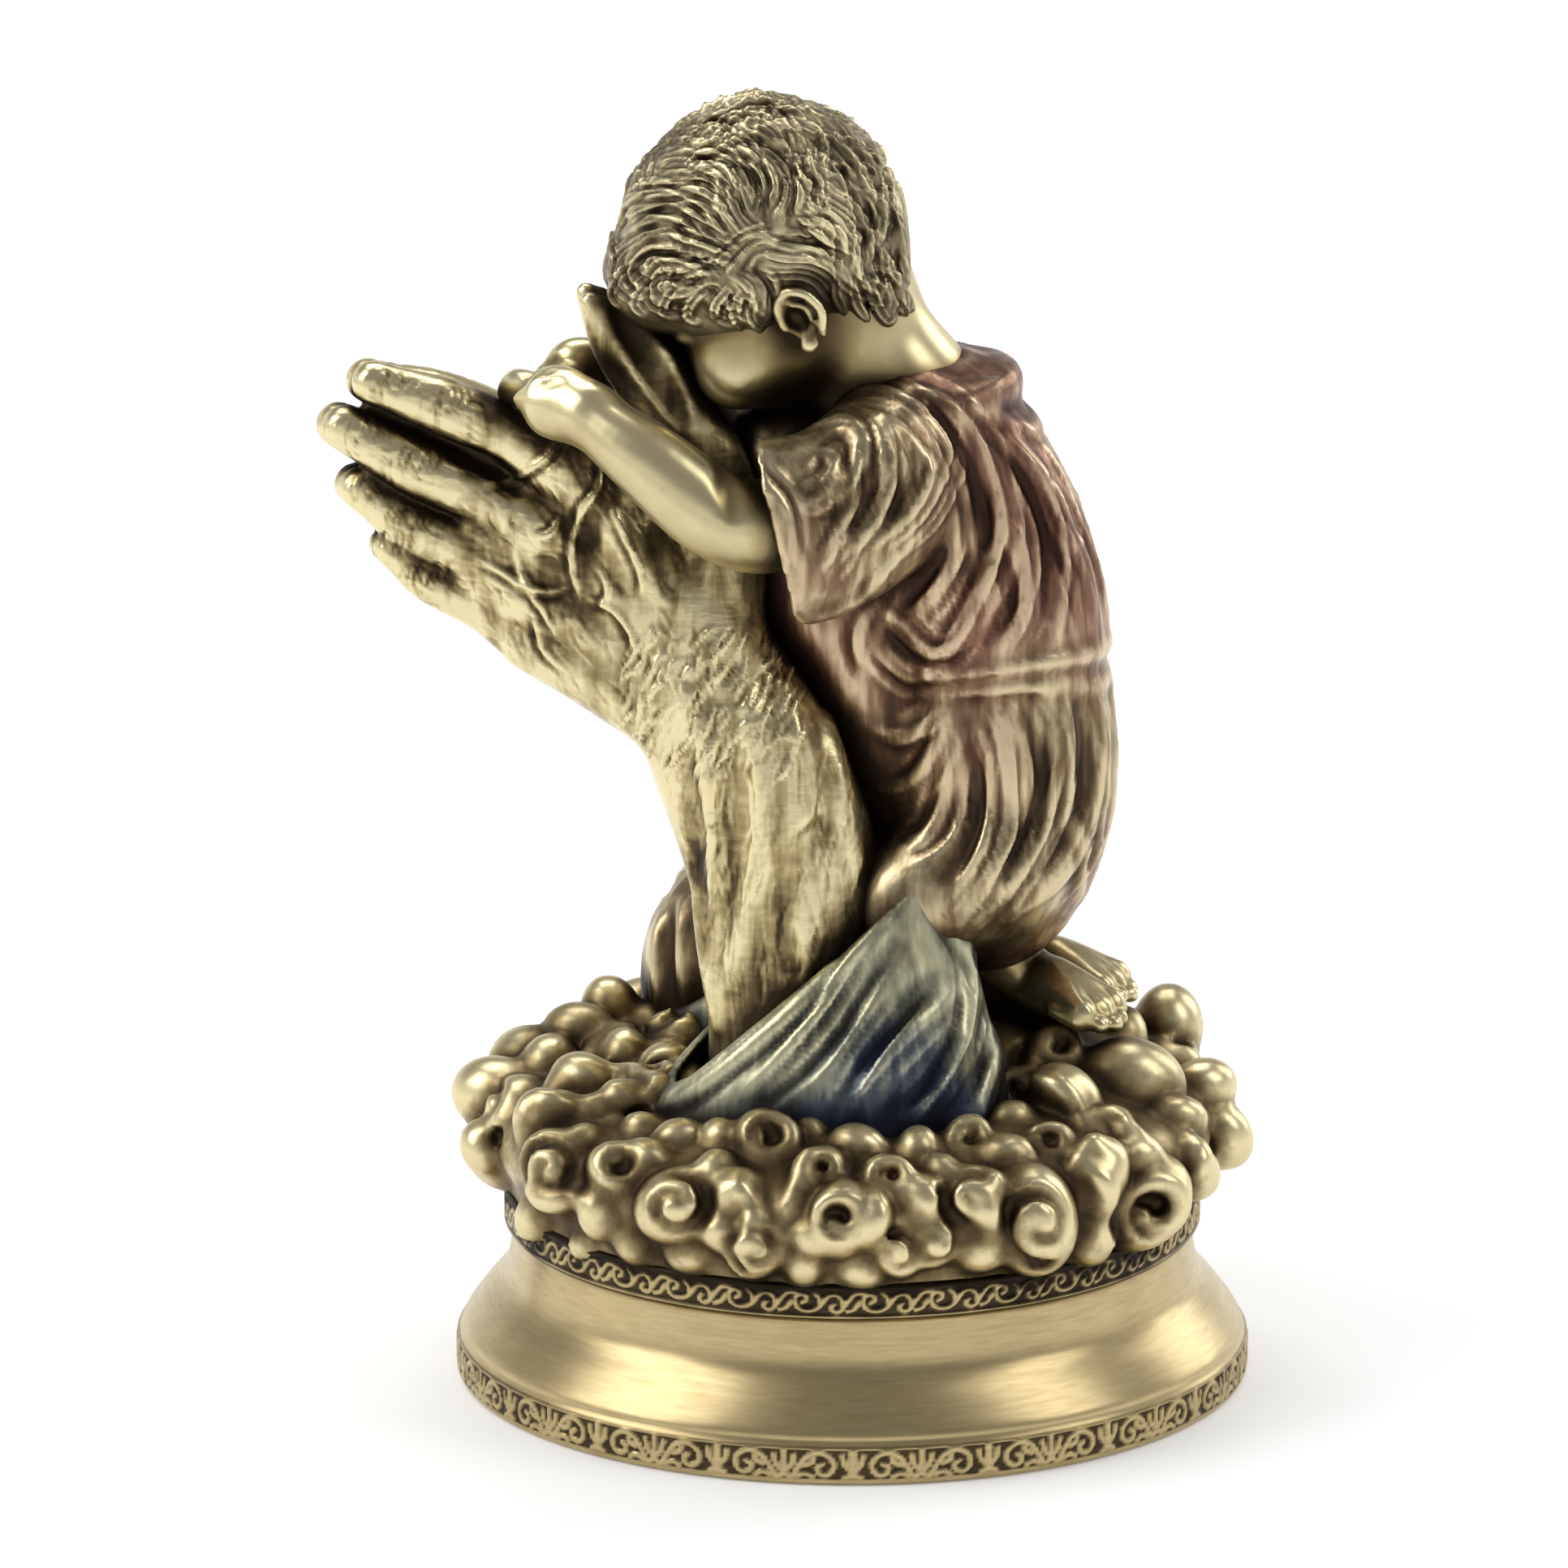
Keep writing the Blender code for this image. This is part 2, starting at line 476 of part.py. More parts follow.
def sight_lines(view, line):
    """Points along the line of sight of each spot of a drawn line, from outside the clay inwards.

    Views near and far take the photograph's pixels, far being the mirror of near. View back takes a spot's
    distance aside and height, in millimetres. View skull takes degrees round from the face and up from the ears.
    """
    if view in ("near", "far"):
        side = -1 if view == "near" else 1
        depth = np.arange(-62.0, 62.0, 0.7)
        x = np.repeat((line[:, :1] - MIDDLE[0]) / PIXEL, len(depth), 1)
        z = (MIDDLE[1] - line[:, 1:2] - SLIDE * depth) / RISE + BASE_HEIGHT
        return np.stack((x, np.broadcast_to(-side * depth, x.shape), z), -1)
    if view == "back":
        x = np.broadcast_to(np.arange(60.0, -60.0, -0.7), (len(line), 172))
        y, z = np.broadcast_arrays(line[:, :1], line[:, 1:2] + BASE_HEIGHT, x)[:2]
        return np.stack((x, y, z), -1)
    turn, rise = np.radians(line[:, 0]), np.radians(line[:, 1])
    way = (np.outer(np.cos(turn) * np.cos(rise), FACE) + np.outer(np.sin(turn) * np.cos(rise), SIDE)
           + np.outer(np.sin(rise), CROWN))
    reach = np.arange(1.4, 0.5, -0.03) * HEAD_RADIUS
    return head_point(0, 0, 0) + way[:, None, :] * reach[None, :, None]


def traced(clay, view, line):
    """Where a drawn line first meets the clay, the outward directions there, and which spots meet it at all."""
    spots = sight_lines(view, line)
    values = clay.sample(spots)
    inside = values < 0
    first = np.where(inside.any(1), inside.argmax(1), 0)
    rows = np.arange(len(line))
    before, after = values[rows, first - 1], values[rows, first]
    share = (before / (before - after + 1e-9))[:, None]
    hits = spots[rows, first - 1] * (1 - share) + spots[rows, first] * share
    return hits, clay.slope(hits), inside.any(1) & (first > 0)


def stroke(clay, view, line, radius, rise, fillet=1.0):
    """Raises a rounded fold along a drawn line, or cuts a groove where the rise is negative."""
    hits, out, met = traced(clay, view, smooth_path(np.array(line, float), 5))
    swell = np.sqrt(np.sin(np.linspace(0.06, 0.94, len(hits)) * math.pi))
    sizes = radius * swell
    sign = 1.0 if rise > 0 else -1.0
    centres = hits - sign * out * (sizes - abs(rise) * swell)[:, None]
    breaks = np.linalg.norm(np.diff(hits, axis=0), axis=1) > 5.0
    start = 0
    for end in list(np.nonzero(breaks)[0] + 1) + [len(hits)]:
        if end - start >= 3 and met[start:end].all():
            clay.rod(centres[start:end], sizes[start:end], fillet, rise < 0)
        start = end


SLEEVE_FOLDS = (
    ((1022, 498), (1062, 483), (1112, 494), (1150, 527), (1166, 562), (1156, 600), (1134, 640), (1098, 674)),
    ((1082, 518), (1096, 560), (1094, 610), (1072, 655), (1035, 692)),
    ((931, 556), (935, 590), (965, 628), (974, 672), (986, 716)),
    ((990, 626), (1012, 618), (1034, 590)),
    ((1050, 590), (1046, 640), (1030, 680), (1010, 706)),
    ((1140, 560), (1142, 600), (1118, 640), (1080, 672)),
)
CUFF_EDGE = ((984, 722), (988, 762), (1020, 760), (1056, 742), (1090, 706), (1128, 664))
ROBE_FOLDS = (
    ((1112, 480), (1162, 498), (1202, 545), (1224, 600), (1234, 655), (1220, 705), (1194, 762), (1168, 804),
     (1142, 832)),
    ((1142, 832), (1118, 836), (1092, 814), (1068, 784)),
    ((1196, 500), (1246, 545), (1286, 602), (1304, 662), (1306, 730), (1296, 794)),
    ((1250, 655), (1265, 708), (1262, 760), (1236, 804)),
    ((1086, 748), (1120, 780), (1146, 800), (1172, 794), (1196, 768)),
    ((1262, 575), (1300, 640), (1332, 715), (1344, 790)),
    ((1220, 866), (1238, 900), (1247, 950), (1249, 1000), (1238, 1052), (1210, 1100), (1176, 1142)),
    ((1290, 856), (1306, 892), (1305, 945), (1290, 1005), (1262, 1062), (1228, 1112), (1190, 1152)),
    ((1340, 846), (1354, 900), (1350, 980), (1332, 1040), (1298, 1088), (1244, 1132)),
    ((1172, 872), (1158, 912), (1140, 950), (1112, 972), (1074, 970)),
    ((1172, 925), (1166, 985), (1142, 1030), (1108, 1044)),
    ((1204, 900), (1224, 960), (1224, 1012), (1204, 1064), (1174, 1120)),
    ((812, 1130), (806, 1180), (812, 1250)),
    ((842, 1110), (838, 1180), (846, 1250)),
)
ROBE_GROOVES = (
    ((1150, 505), (1186, 560), (1204, 620), (1206, 680), (1184, 730)),
    ((1245, 570), (1276, 625), (1290, 690), (1286, 760)),
    ((1234, 690), (1238, 740), (1214, 790)),
    ((1258, 880), (1276, 940), (1270, 1010), (1240, 1080)),
    ((1322, 870), (1332, 940), (1320, 1010), (1284, 1070)),
    ((1192, 890), (1198, 960), (1190, 1030), (1160, 1080)),
    ((1116, 540), (1122, 590), (1098, 640)),
    ((1066, 560), (1066, 620), (1048, 660)),
)
BELT = (((1140, 838), (1200, 830), (1270, 820), (1362, 806)), ((1140, 860), (1200, 853), (1270, 846), (1364, 828)))
DRAPE_FOLDS = (
    ((806, 1368), (862, 1330), (950, 1256), (1022, 1188), (1080, 1118), (1104, 1088)),
    ((1176, 1214), (1134, 1258), (1088, 1308), (1050, 1350)),
    ((1184, 1150), (1196, 1210), (1190, 1272), (1164, 1322), (1122, 1384)),
    ((1092, 1136), (1052, 1184), (1016, 1240), (972, 1292), (920, 1340)),
    ((1140, 1090), (1178, 1140), (1212, 1200), (1240, 1262), (1254, 1330)),
    ((1220, 1226), (1228, 1290), (1214, 1350), (1190, 1390)),
)
DRAPE_GROOVES = (
    ((1104, 1160), (1068, 1206), (1034, 1262), (992, 1312), (944, 1356)),
    ((1142, 1200), (1102, 1250), (1060, 1304), (1024, 1372)),
    ((1176, 1280), (1134, 1330), (1082, 1382)),
    ((1214, 1240), (1206, 1300), (1176, 1360)),
)
LOCKS = (
    ((1000, 150), (950, 140), (900, 150), (850, 160), (812, 172)),
    ((1008, 202), (962, 170), (900, 186), (842, 200), (796, 214)),
    ((960, 290), (956, 240), (930, 205), (880, 200), (826, 214)),
    ((930, 276), (910, 236), (870, 220), (820, 232), (776, 250)),
    ((948, 304), (910, 282), (868, 250), (820, 254), (768, 272)),
    ((900, 300), (860, 272), (812, 282), (766, 296)),
    ((904, 334), (862, 304), (820, 302), (786, 324), (776, 346)),
    ((884, 352), (842, 332), (806, 340), (788, 362)),
    ((870, 372), (830, 362), (796, 372)),
    ((998, 210), (986, 250), (1008, 290), (1040, 312)),
    ((1040, 196), (1062, 240), (1082, 274), (1070, 312)),
    ((1012, 270), (1040, 302), (1050, 340), (1040, 372)),
    ((950, 322), (990, 322), (1030, 342), (1056, 372)),
    ((1074, 170), (1090, 230), (1104, 290), (1116, 352)),
    ((1056, 350), (1088, 366), (1097, 398)),
    ((1086, 320), (1100, 360), (1122, 384)),
    ((900, 342), (928, 368), (944, 402)),
    ((940, 110), (890, 120), (850, 136), (818, 156)),
    ((1020, 130), (1060, 170), (1080, 220)),
)


BACK_FOLDS = (
    ((-11, 121), (-6, 116.5), (0, 115), (6, 116.5), (11, 121)),
    ((-10, 116), (-8, 106), (-6.5, 95), (-6, 85)),
    ((-2, 112), (-1, 103), (-2.5, 94), (-1.5, 85)),
    ((9, 117), (6, 107), (5.5, 96), (3.5, 86)),
    ((14, 112), (12, 103), (11, 94), (9, 86)),
    ((-16, 84), (-8, 83), (0, 82.5), (8, 83), (16, 84)),
    ((-16, 79.5), (-8, 78), (0, 77.6), (8, 78), (16, 79.5)),
    ((-13, 77), (-14.5, 66), (-11, 54), (-6, 45)),
    ((-7, 76), (-8.5, 64), (-6, 53), (-3, 44)),
    ((-1, 76), (-1.5, 64), (0, 53), (0, 43)),
    ((5, 76), (7.5, 65), (6, 54), (2.5, 44)),
    ((11, 77), (14, 66), (11.5, 54), (6, 45)),
)
CROWN_LOCKS = (
    ((180, 78), (172, 50), (184, 22), (176, -6)), ((160, 72), (150, 46), (160, 18), (152, -10)),
    ((200, 72), (210, 46), (200, 18), (208, -10)), ((166, 40), (172, 16), (164, -12), (170, -26)),
    ((194, 40), (188, 16), (196, -12), (190, -26)), ((140, 66), (130, 44), (138, 20), (128, 0)),
    ((220, 66), (230, 44), (222, 20), (232, 0)), ((20, 76), (12, 54), (22, 34), (14, 14)),
    ((-20, 76), (-14, 54), (-24, 34), (-16, 14)), ((0, 74), (4, 50), (-4, 28), (2, 10)),
    ((60, 80), (40, 60), (48, 46)), ((-60, 80), (-40, 60), (-48, 46)),
)


def curl(clay, centre, way, radius, turns=1.5, start=0.0):
    """Cuts a spiral into the face of a puff."""
    across = np.cross(way, (0.0, 0.0, 1.0))
    across /= np.linalg.norm(across) + 1e-9
    up = np.cross(across, way)
    share = np.linspace(0.0, 1.0, 16)
    angle = start + 2 * math.pi * turns * share
    lean = np.radians(58.0 - 42.0 * share)
    spots = centre + radius * (np.outer(np.cos(lean), way) + np.outer(np.sin(lean) * np.cos(angle), across)
                               + np.outer(np.sin(lean) * np.sin(angle), up))
    clay.rod(spots, np.linspace(0.9, 0.6, 16) * min(1.0, radius / 5.0), 0.4, True)


def details(clay, view):
    for line in DRAPE_FOLDS:
        stroke(clay, view, line, 2.4, 1.5)
    for line in DRAPE_GROOVES:
        stroke(clay, view, line, 2.4, -1.5)
    for line in ROBE_FOLDS:
        stroke(clay, view, line, 2.0, 1.4)
    for line in SLEEVE_FOLDS + (CUFF_EDGE,):
        stroke(clay, view, line, 1.7, 1.1)
    for line in ROBE_GROOVES:
        stroke(clay, view, line, 1.8, -1.3)
    for line in BELT:
        stroke(clay, view, line, 1.4, 1.0, 0.5)
    for line in LOCKS:
        stroke(clay, view, line, 1.9, 1.2, 0.5)


def sculpt():
    whole = None
    for make in (cloud, child, sleeves, large_hands):
        clay = Clay((-84, -64, BASE_HEIGHT - 2.2), (64, 64, BASE_HEIGHT + 172), GRID_STEP)
        make(clay)
        if whole is None:
            whole = clay
        else:
            whole.field = soft_min(whole.field, clay.field, 0.8)
    for view in ("near", "far"):
        details(whole, view)
    for line in BACK_FOLDS:
        stroke(whole, "back", line, 2.0, 1.3)
    for line in CROWN_LOCKS:
        stroke(whole, "skull", line, 2.0, 0.9, 0.5)
    return whole


def keep_largest(points, quads):
    """Drops any small shell that lies apart from the main one."""
    group = np.arange(len(points))
    while True:
        low = group[quads].min(1)
        new = group.copy()
        for corner in range(4):
            np.minimum.at(new, quads[:, corner], low)
        if (new == group).all():
            break
        group = new[new]
    main = np.bincount(group).argmax()
    kept = quads[group[quads[:, 0]] == main]
    used, kept = np.unique(kept, return_inverse=True)
    return points[used], kept.reshape(-1, 4)


def linked(name, mesh):
    made = bpy.data.objects.new(name, mesh)
    bpy.context.scene.collection.objects.link(made)
    return made


def figure_object():
    points, quads = keep_largest(*sculpt().skin())
    mesh = bpy.data.meshes.new("figure")
    mesh.from_pydata((points * MM).tolist(), [], quads.tolist())
    figure = linked("figure", mesh)
    thin = figure.modifiers.new("thin", "DECIMATE")
    thin.ratio = FACES_WANTED / (2.0 * len(quads))
    return figure


def base_profile():
    """Radius and height of each turn of the base, from the middle of its underside to its top."""
    top = BASE_HEIGHT
    band = top - TOP_BAND_HEIGHT
    rise = band - FOOT_BAND_HEIGHT
    return [
        (0.0, 0.0), (BASE_RADIUS - 1.5, 0.0), (BASE_RADIUS - 0.2, 1.6), (BASE_RADIUS - 0.2, FOOT_BAND_HEIGHT - 0.8),
        (BASE_RADIUS - 1.0, FOOT_BAND_HEIGHT), (BASE_RADIUS - 1.2, FOOT_BAND_HEIGHT + 0.08 * rise),
        (BASE_RADIUS - 4.0, FOOT_BAND_HEIGHT + 0.3 * rise), (BASE_RADIUS - 7.2, FOOT_BAND_HEIGHT + 0.54 * rise),
        (NECK_RADIUS + 0.3, FOOT_BAND_HEIGHT + 0.8 * rise), (NECK_RADIUS, band - 0.5),
        (TOP_BAND_RADIUS, band), (TOP_BAND_RADIUS, top - 0.9), (TOP_BAND_RADIUS - 1.3, top), (0.0, top),
    ]


def base_object():
    mesh = bpy.data.meshes.new("base")
    shape = bmesh.new()
    rings = []
    for radius, height in base_profile():
        count = BASE_SEGMENTS if radius > 0 else 1
        turns = [2 * math.pi * i / BASE_SEGMENTS for i in range(count)]
        rings.append([shape.verts.new((radius * math.cos(a) * MM, radius * math.sin(a) * MM, height * MM))
                      for a in turns])
    for low, high in zip(rings[:-1], rings[1:]):
        for i in range(BASE_SEGMENTS):
            corners = [low[i % len(low)], low[(i + 1) % len(low)], high[(i + 1) % len(high)], high[i % len(high)]]
            shape.faces.new([c for k, c in enumerate(corners) if c not in corners[:k]])
    bmesh.ops.recalc_face_normals(shape, faces=shape.faces)
    shape.to_mesh(mesh)
    shape.free()
    return linked("base", mesh)


def bronze():
    finish = bpy.data.materials.new("bronze")
    finish.use_nodes = True
    shader = finish.node_tree.nodes["Principled BSDF"]
    shader.inputs["Base Color"].default_value = (0.36, 0.26, 0.13, 1.0)
    shader.inputs["Metallic"].default_value = 0.85
    shader.inputs["Roughness"].default_value = 0.38
    return finish


def main():
    for old in list(bpy.data.objects):
        bpy.data.objects.remove(old)
    figure = figure_object()
    base = base_object()
    whole = bpy.data.meshes.new_from_object(figure.evaluated_get(bpy.context.evaluated_depsgraph_get()))
    bpy.data.objects.remove(figure)
    statue = linked("statue", whole)
    join = statue.modifiers.new("base", "BOOLEAN")
    join.operation = "UNION"
    join.solver = "EXACT"
    join.object = base
    base.hide_render = True
    base.display_type = "WIRE"
    statue.data.materials.clear()
    statue.data.materials.append(bronze())
    for face in statue.data.polygons:
        face.use_smooth = True


main()
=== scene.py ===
"""The looks of the praying hands statue: antiqued bronze with copper and blue tints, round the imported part."""

import json
import math

import bpy
import numpy as np
import openvdb
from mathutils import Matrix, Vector

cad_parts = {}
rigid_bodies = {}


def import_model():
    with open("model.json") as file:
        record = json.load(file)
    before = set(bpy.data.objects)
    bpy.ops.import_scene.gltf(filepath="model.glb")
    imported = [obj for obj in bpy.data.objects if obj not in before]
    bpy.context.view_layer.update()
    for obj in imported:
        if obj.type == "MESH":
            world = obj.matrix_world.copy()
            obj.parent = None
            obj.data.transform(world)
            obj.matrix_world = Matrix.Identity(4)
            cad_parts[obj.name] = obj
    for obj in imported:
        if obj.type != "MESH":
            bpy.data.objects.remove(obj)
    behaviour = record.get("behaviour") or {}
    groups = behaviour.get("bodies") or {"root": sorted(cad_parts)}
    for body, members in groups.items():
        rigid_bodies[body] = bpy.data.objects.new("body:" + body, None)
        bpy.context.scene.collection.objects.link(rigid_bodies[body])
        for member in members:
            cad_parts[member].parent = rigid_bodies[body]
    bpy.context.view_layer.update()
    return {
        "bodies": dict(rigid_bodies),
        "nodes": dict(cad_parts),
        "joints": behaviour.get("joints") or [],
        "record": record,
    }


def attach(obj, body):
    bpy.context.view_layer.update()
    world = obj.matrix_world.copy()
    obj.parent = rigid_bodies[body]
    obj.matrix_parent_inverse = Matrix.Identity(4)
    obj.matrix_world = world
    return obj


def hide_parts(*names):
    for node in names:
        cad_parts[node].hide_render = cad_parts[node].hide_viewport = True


MM = 0.001
NODE, BODY, SLOT = "statue", "root", "bronze"

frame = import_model()

# Sizes shared with the solid, in millimetres

BASE_HEIGHT = 28.4
BASE_RADIUS = 58.0
NECK_RADIUS = 49.4
TOP_BAND_RADIUS = 50.8
TOP_BAND_HEIGHT = 5.4
FOOT_BAND_HEIGHT = 6.2
CLOUD_RADIUS = 46.0
CLOUD_HEIGHT = 20.0
HAND_TILT = math.radians(33.0)
FAR_DROP = 1.6
FOREARM_RADIUS = 14.6
FOREARM_FLATNESS = 0.74
FINGER_RADIUS = 4.1
THUMB_RADIUS = 5.3
HEAD_RADIUS = 21.0
HEAD_PITCH = math.radians(32.0)
TORSO_RADIUS = 17.4
ARM_RADIUS = 5.8
FAR_HAND_DROP = 3.6
FOOT_RADIUS = 4.2
SLEEVE_RADIUS = 25.0
CUFF_WALL = 3.4
SIDES = (-1, 1)


def at(x, y, z):
    """A point measured from the middle of the base's top face."""
    return np.array((x, y, z + BASE_HEIGHT), float)


# Clay: sculpting by signed distance

def soft_min(a, b, reach):
    mix = np.clip(0.5 + 0.5 * (a - b) / reach, 0.0, 1.0)
    return a + (b - a) * mix - reach * mix * (1.0 - mix)


def smooth_path(spots, spans=6):
    """Points on a curve through the given ones, whose extra columns such as radii follow the same curve."""
    if len(spots) == 2:
        return spots
    ends = np.vstack((2 * spots[0] - spots[1], spots, 2 * spots[-1] - spots[-2]))
    out = []
    for a, b, c, d in zip(ends[:-3], ends[1:-2], ends[2:-1], ends[3:]):
        for t in np.arange(spans) / spans:
            out.append(0.5 * (2 * b + (c - a) * t + (2 * a - 5 * b + 4 * c - d) * t**2
                              + (3 * b - a - 3 * c + d) * t**3))
    out.append(spots[-1])
    return np.array(out)


def segment_distance(grid, a, b, flat=1.0, normal=(0, 1, 0)):
    """Distance to a tapering rod between two spots, each x, y, z and radius."""
    along = b[:3] - a[:3]
    offset = [g - p for g, p in zip(grid, a[:3])]
    share = np.clip(sum(o * d for o, d in zip(offset, along)) / max(along @ along, 1e-9), 0.0, 1.0)
    offset = [o - share * d for o, d in zip(offset, along)]
    if flat != 1.0:
        lean = sum(o * n for o, n in zip(offset, normal)) * (1.0 / flat - 1.0)
        offset = [o + lean * n for o, n in zip(offset, normal)]
    return np.sqrt(sum(o * o for o in offset)) - (a[3] + share * (b[3] - a[3]))


class Clay:
    """A block of space on a grid, with each point's distance to the sculpted surface, negative inside."""

    FAR = 30.0

    def __init__(self, low, high, step):
        self.low = np.array(low, float)
        self.step = step
        self.counts = np.ceil((np.array(high, float) - self.low) / step).astype(int) + 1
        self.field = np.full(self.counts, self.FAR, np.float32)
        self.margin = 4.0 * step + 2.0

    def window(self, low, high):
        first = np.clip(np.floor((low - self.low) / self.step).astype(int), 0, self.counts)
        last = np.clip(np.ceil((high - self.low) / self.step).astype(int) + 1, 0, self.counts)
        axes = [self.low[i] + self.step * np.arange(first[i], last[i]) for i in range(3)]
        index = tuple(slice(a, b) for a, b in zip(first, last))
        return index, np.meshgrid(*axes, indexing="ij", sparse=True)

    def join(self, index, new, fillet, cut=False):
        if new.size == 0:
            return
        old = self.field[index]
        if cut:
            self.field[index] = -soft_min(-old, new, fillet)
        else:
            self.field[index] = soft_min(old, new, fillet)

    def rods(self, spots, reach, flat=1.0, normal=(0, 1, 0)):
        """The window round a chain of spots, its grid, and the distance to the chain."""
        index, grid = self.window(spots[:, :3].min(0) - reach, spots[:, :3].max(0) + reach)
        new = np.full(np.broadcast_shapes(*[g.shape for g in grid]), self.FAR, np.float32)
        corner = np.array([s.start for s in index])
        for a, b in zip(spots[:-1], spots[1:]):
            part, near = self.window(np.minimum(a, b)[:3] - reach, np.maximum(a, b)[:3] + reach)
            inner = tuple(slice(s.start - c, s.stop - c) for s, c in zip(part, corner))
            if new[inner].size:
                new[inner] = np.minimum(new[inner], segment_distance(near, a, b, flat, normal))
        return index, grid, new

    def limb(self, path, radii, fillet=1.0, flat=1.0, normal=(0, 1, 0), cut=False, within=None):
        """A tapering limb along a smooth path. Flat is thickness along the normal as a share of width."""
        spots = smooth_path(np.column_stack((np.array(path, float), radii)))
        reach = spots[:, 3].max() * max(1.0, flat) + self.margin + fillet
        index, grid, new = self.rods(spots, reach, flat, normal)
        if within is not None:
            new = np.maximum(new, within(grid))
        self.join(index, new, fillet, cut)

    def rod(self, points, radii, fillet=1.0, cut=False):
        """A rounded fold or groove through points that are close together already."""
        reach = np.max(radii) + 3.0 * self.step + fillet + 0.8
        index, grid, new = self.rods(np.column_stack((points, radii)), reach)
        self.join(index, new, fillet, cut)

    def ball(self, centre, radii, fillet=1.0, turn=None, cut=False):
        """An ellipsoid, turned by a 3 by 3 matrix whose columns are its own axes."""
        radii = np.broadcast_to(np.array(radii, float), 3)
        reach = radii.max() + self.margin + fillet
        index, grid = self.window(centre - reach, centre + reach)
        offset = [g - c for g, c in zip(grid, centre)]
        if turn is not None:
            offset = [sum(offset[i] * turn[i][j] for i in range(3)) for j in range(3)]
        scaled = np.sqrt(sum((o / r) ** 2 for o, r in zip(offset, radii)))
        slope = np.sqrt(sum((o / r ** 2) ** 2 for o, r in zip(offset, radii))) + 1e-6
        self.join(index, (scaled * (scaled - 1.0) / slope).astype(np.float32), fillet, cut)

    def sample(self, spots):
        """The distance at any points, by mixing the eight grid values round each."""
        place = np.clip((spots - self.low) / self.step, 0, self.counts - 1.001)
        base = place.astype(int)
        rest = place - base
        total = 0.0
        for corner in range(8):
            pick = np.array([(corner >> i) & 1 for i in range(3)])
            share = np.prod(np.where(pick == 1, rest, 1.0 - rest), -1)
            total = total + share * self.field[tuple(np.moveaxis(base + pick, -1, 0))]
        return total

    def slope(self, spots):
        """The outward direction at points near the surface."""
        axes = np.eye(3) * 1.2 * self.step
        slope = np.stack([self.sample(spots + a) - self.sample(spots - a) for a in axes], -1)
        return slope / (np.linalg.norm(slope, axis=-1, keepdims=True) + 1e-9)

    def skin(self):
        grid = openvdb.FloatGrid(self.FAR)
        grid.copyFromArray(self.field)
        points, quads = grid.convertToQuads(0.0)
        return points.astype(float) * self.step + self.low, quads


# Lines of sight: places drawn over the photograph, in its 1932 by 1932 pixels

PIXEL = 8.42
RISE, SLIDE = 8.05, 2.46
MIDDLE = (1050.0, 1453.0)
FACE = np.array((-math.cos(HEAD_PITCH), 0.0, -math.sin(HEAD_PITCH)))
CROWN = np.array((-math.sin(HEAD_PITCH), 0.0, math.cos(HEAD_PITCH)))
SIDE = np.array((0.0, 1.0, 0.0))
HEAD_TURN = np.column_stack((FACE, SIDE, CROWN))
HEAD = (-13.6, 146.2)


def head_point(forward, aside, up):
    """A point on the head, as shares of its radius from the middle of the skull."""
    return at(HEAD[0], 0.0, HEAD[1]) + HEAD_RADIUS * (forward * FACE + aside * SIDE + up * CROWN)


def sight_lines(view, line):
    """Points along the line of sight of each spot of a drawn line, from outside the clay inwards.

    Views near and far take the photograph's pixels, far being the mirror of near. View back takes a spot's
    distance aside and height, in millimetres. View skull takes degrees round from the face and up from the
    ears.
    """
    if view in ("near", "far"):
        side = -1 if view == "near" else 1
        depth = np.arange(-62.0, 62.0, 0.5)
        x = np.repeat((line[:, :1] - MIDDLE[0]) / PIXEL, len(depth), 1)
        z = (MIDDLE[1] - line[:, 1:2] - SLIDE * depth) / RISE + BASE_HEIGHT
        return np.stack((x, np.broadcast_to(-side * depth, x.shape), z), -1)
    if view == "back":
        x = np.broadcast_to(np.arange(60.0, -60.0, -0.5), (len(line), 240))
        y, z = np.broadcast_arrays(line[:, :1], line[:, 1:2] + BASE_HEIGHT, x)[:2]
        return np.stack((x, y, z), -1)
    turn, rise = np.radians(line[:, 0]), np.radians(line[:, 1])
    way = (np.outer(np.cos(turn) * np.cos(rise), FACE) + np.outer(np.sin(turn) * np.cos(rise), SIDE)
           + np.outer(np.sin(rise), CROWN))
    reach = np.arange(1.4, 0.5, -0.02) * HEAD_RADIUS
    return head_point(0, 0, 0) + way[:, None, :] * reach[None, :, None]


def traced(clay, view, line):
    """Where a drawn line first meets the clay, the outward directions there, and which spots meet it."""
    spots = sight_lines(view, line)
    values = clay.sample(spots)
    inside = values < 0
    first = np.where(inside.any(1), inside.argmax(1), 0)
    rows = np.arange(len(line))
    before, after = values[rows, first - 1], values[rows, first]
    share = (before / (before - after + 1e-9))[:, None]
    hits = spots[rows, first - 1] * (1 - share) + spots[rows, first] * share
    return hits, clay.slope(hits), inside.any(1) & (first > 0)


def runs(clay, view, line, spans=5, least=3):
    """The unbroken stretches of a drawn line on the clay, each its points and the outward directions."""
    hits, out, met = traced(clay, view, smooth_path(np.array(line, float), spans))
    breaks = (np.linalg.norm(np.diff(hits, axis=0), axis=1) > 5.0) | ~met[1:] | ~met[:-1]
    start = 0
    for end in list(np.nonzero(breaks)[0] + 1) + [len(hits)]:
        if end - start >= least:
            yield hits[start:end], out[start:end]
        start = end


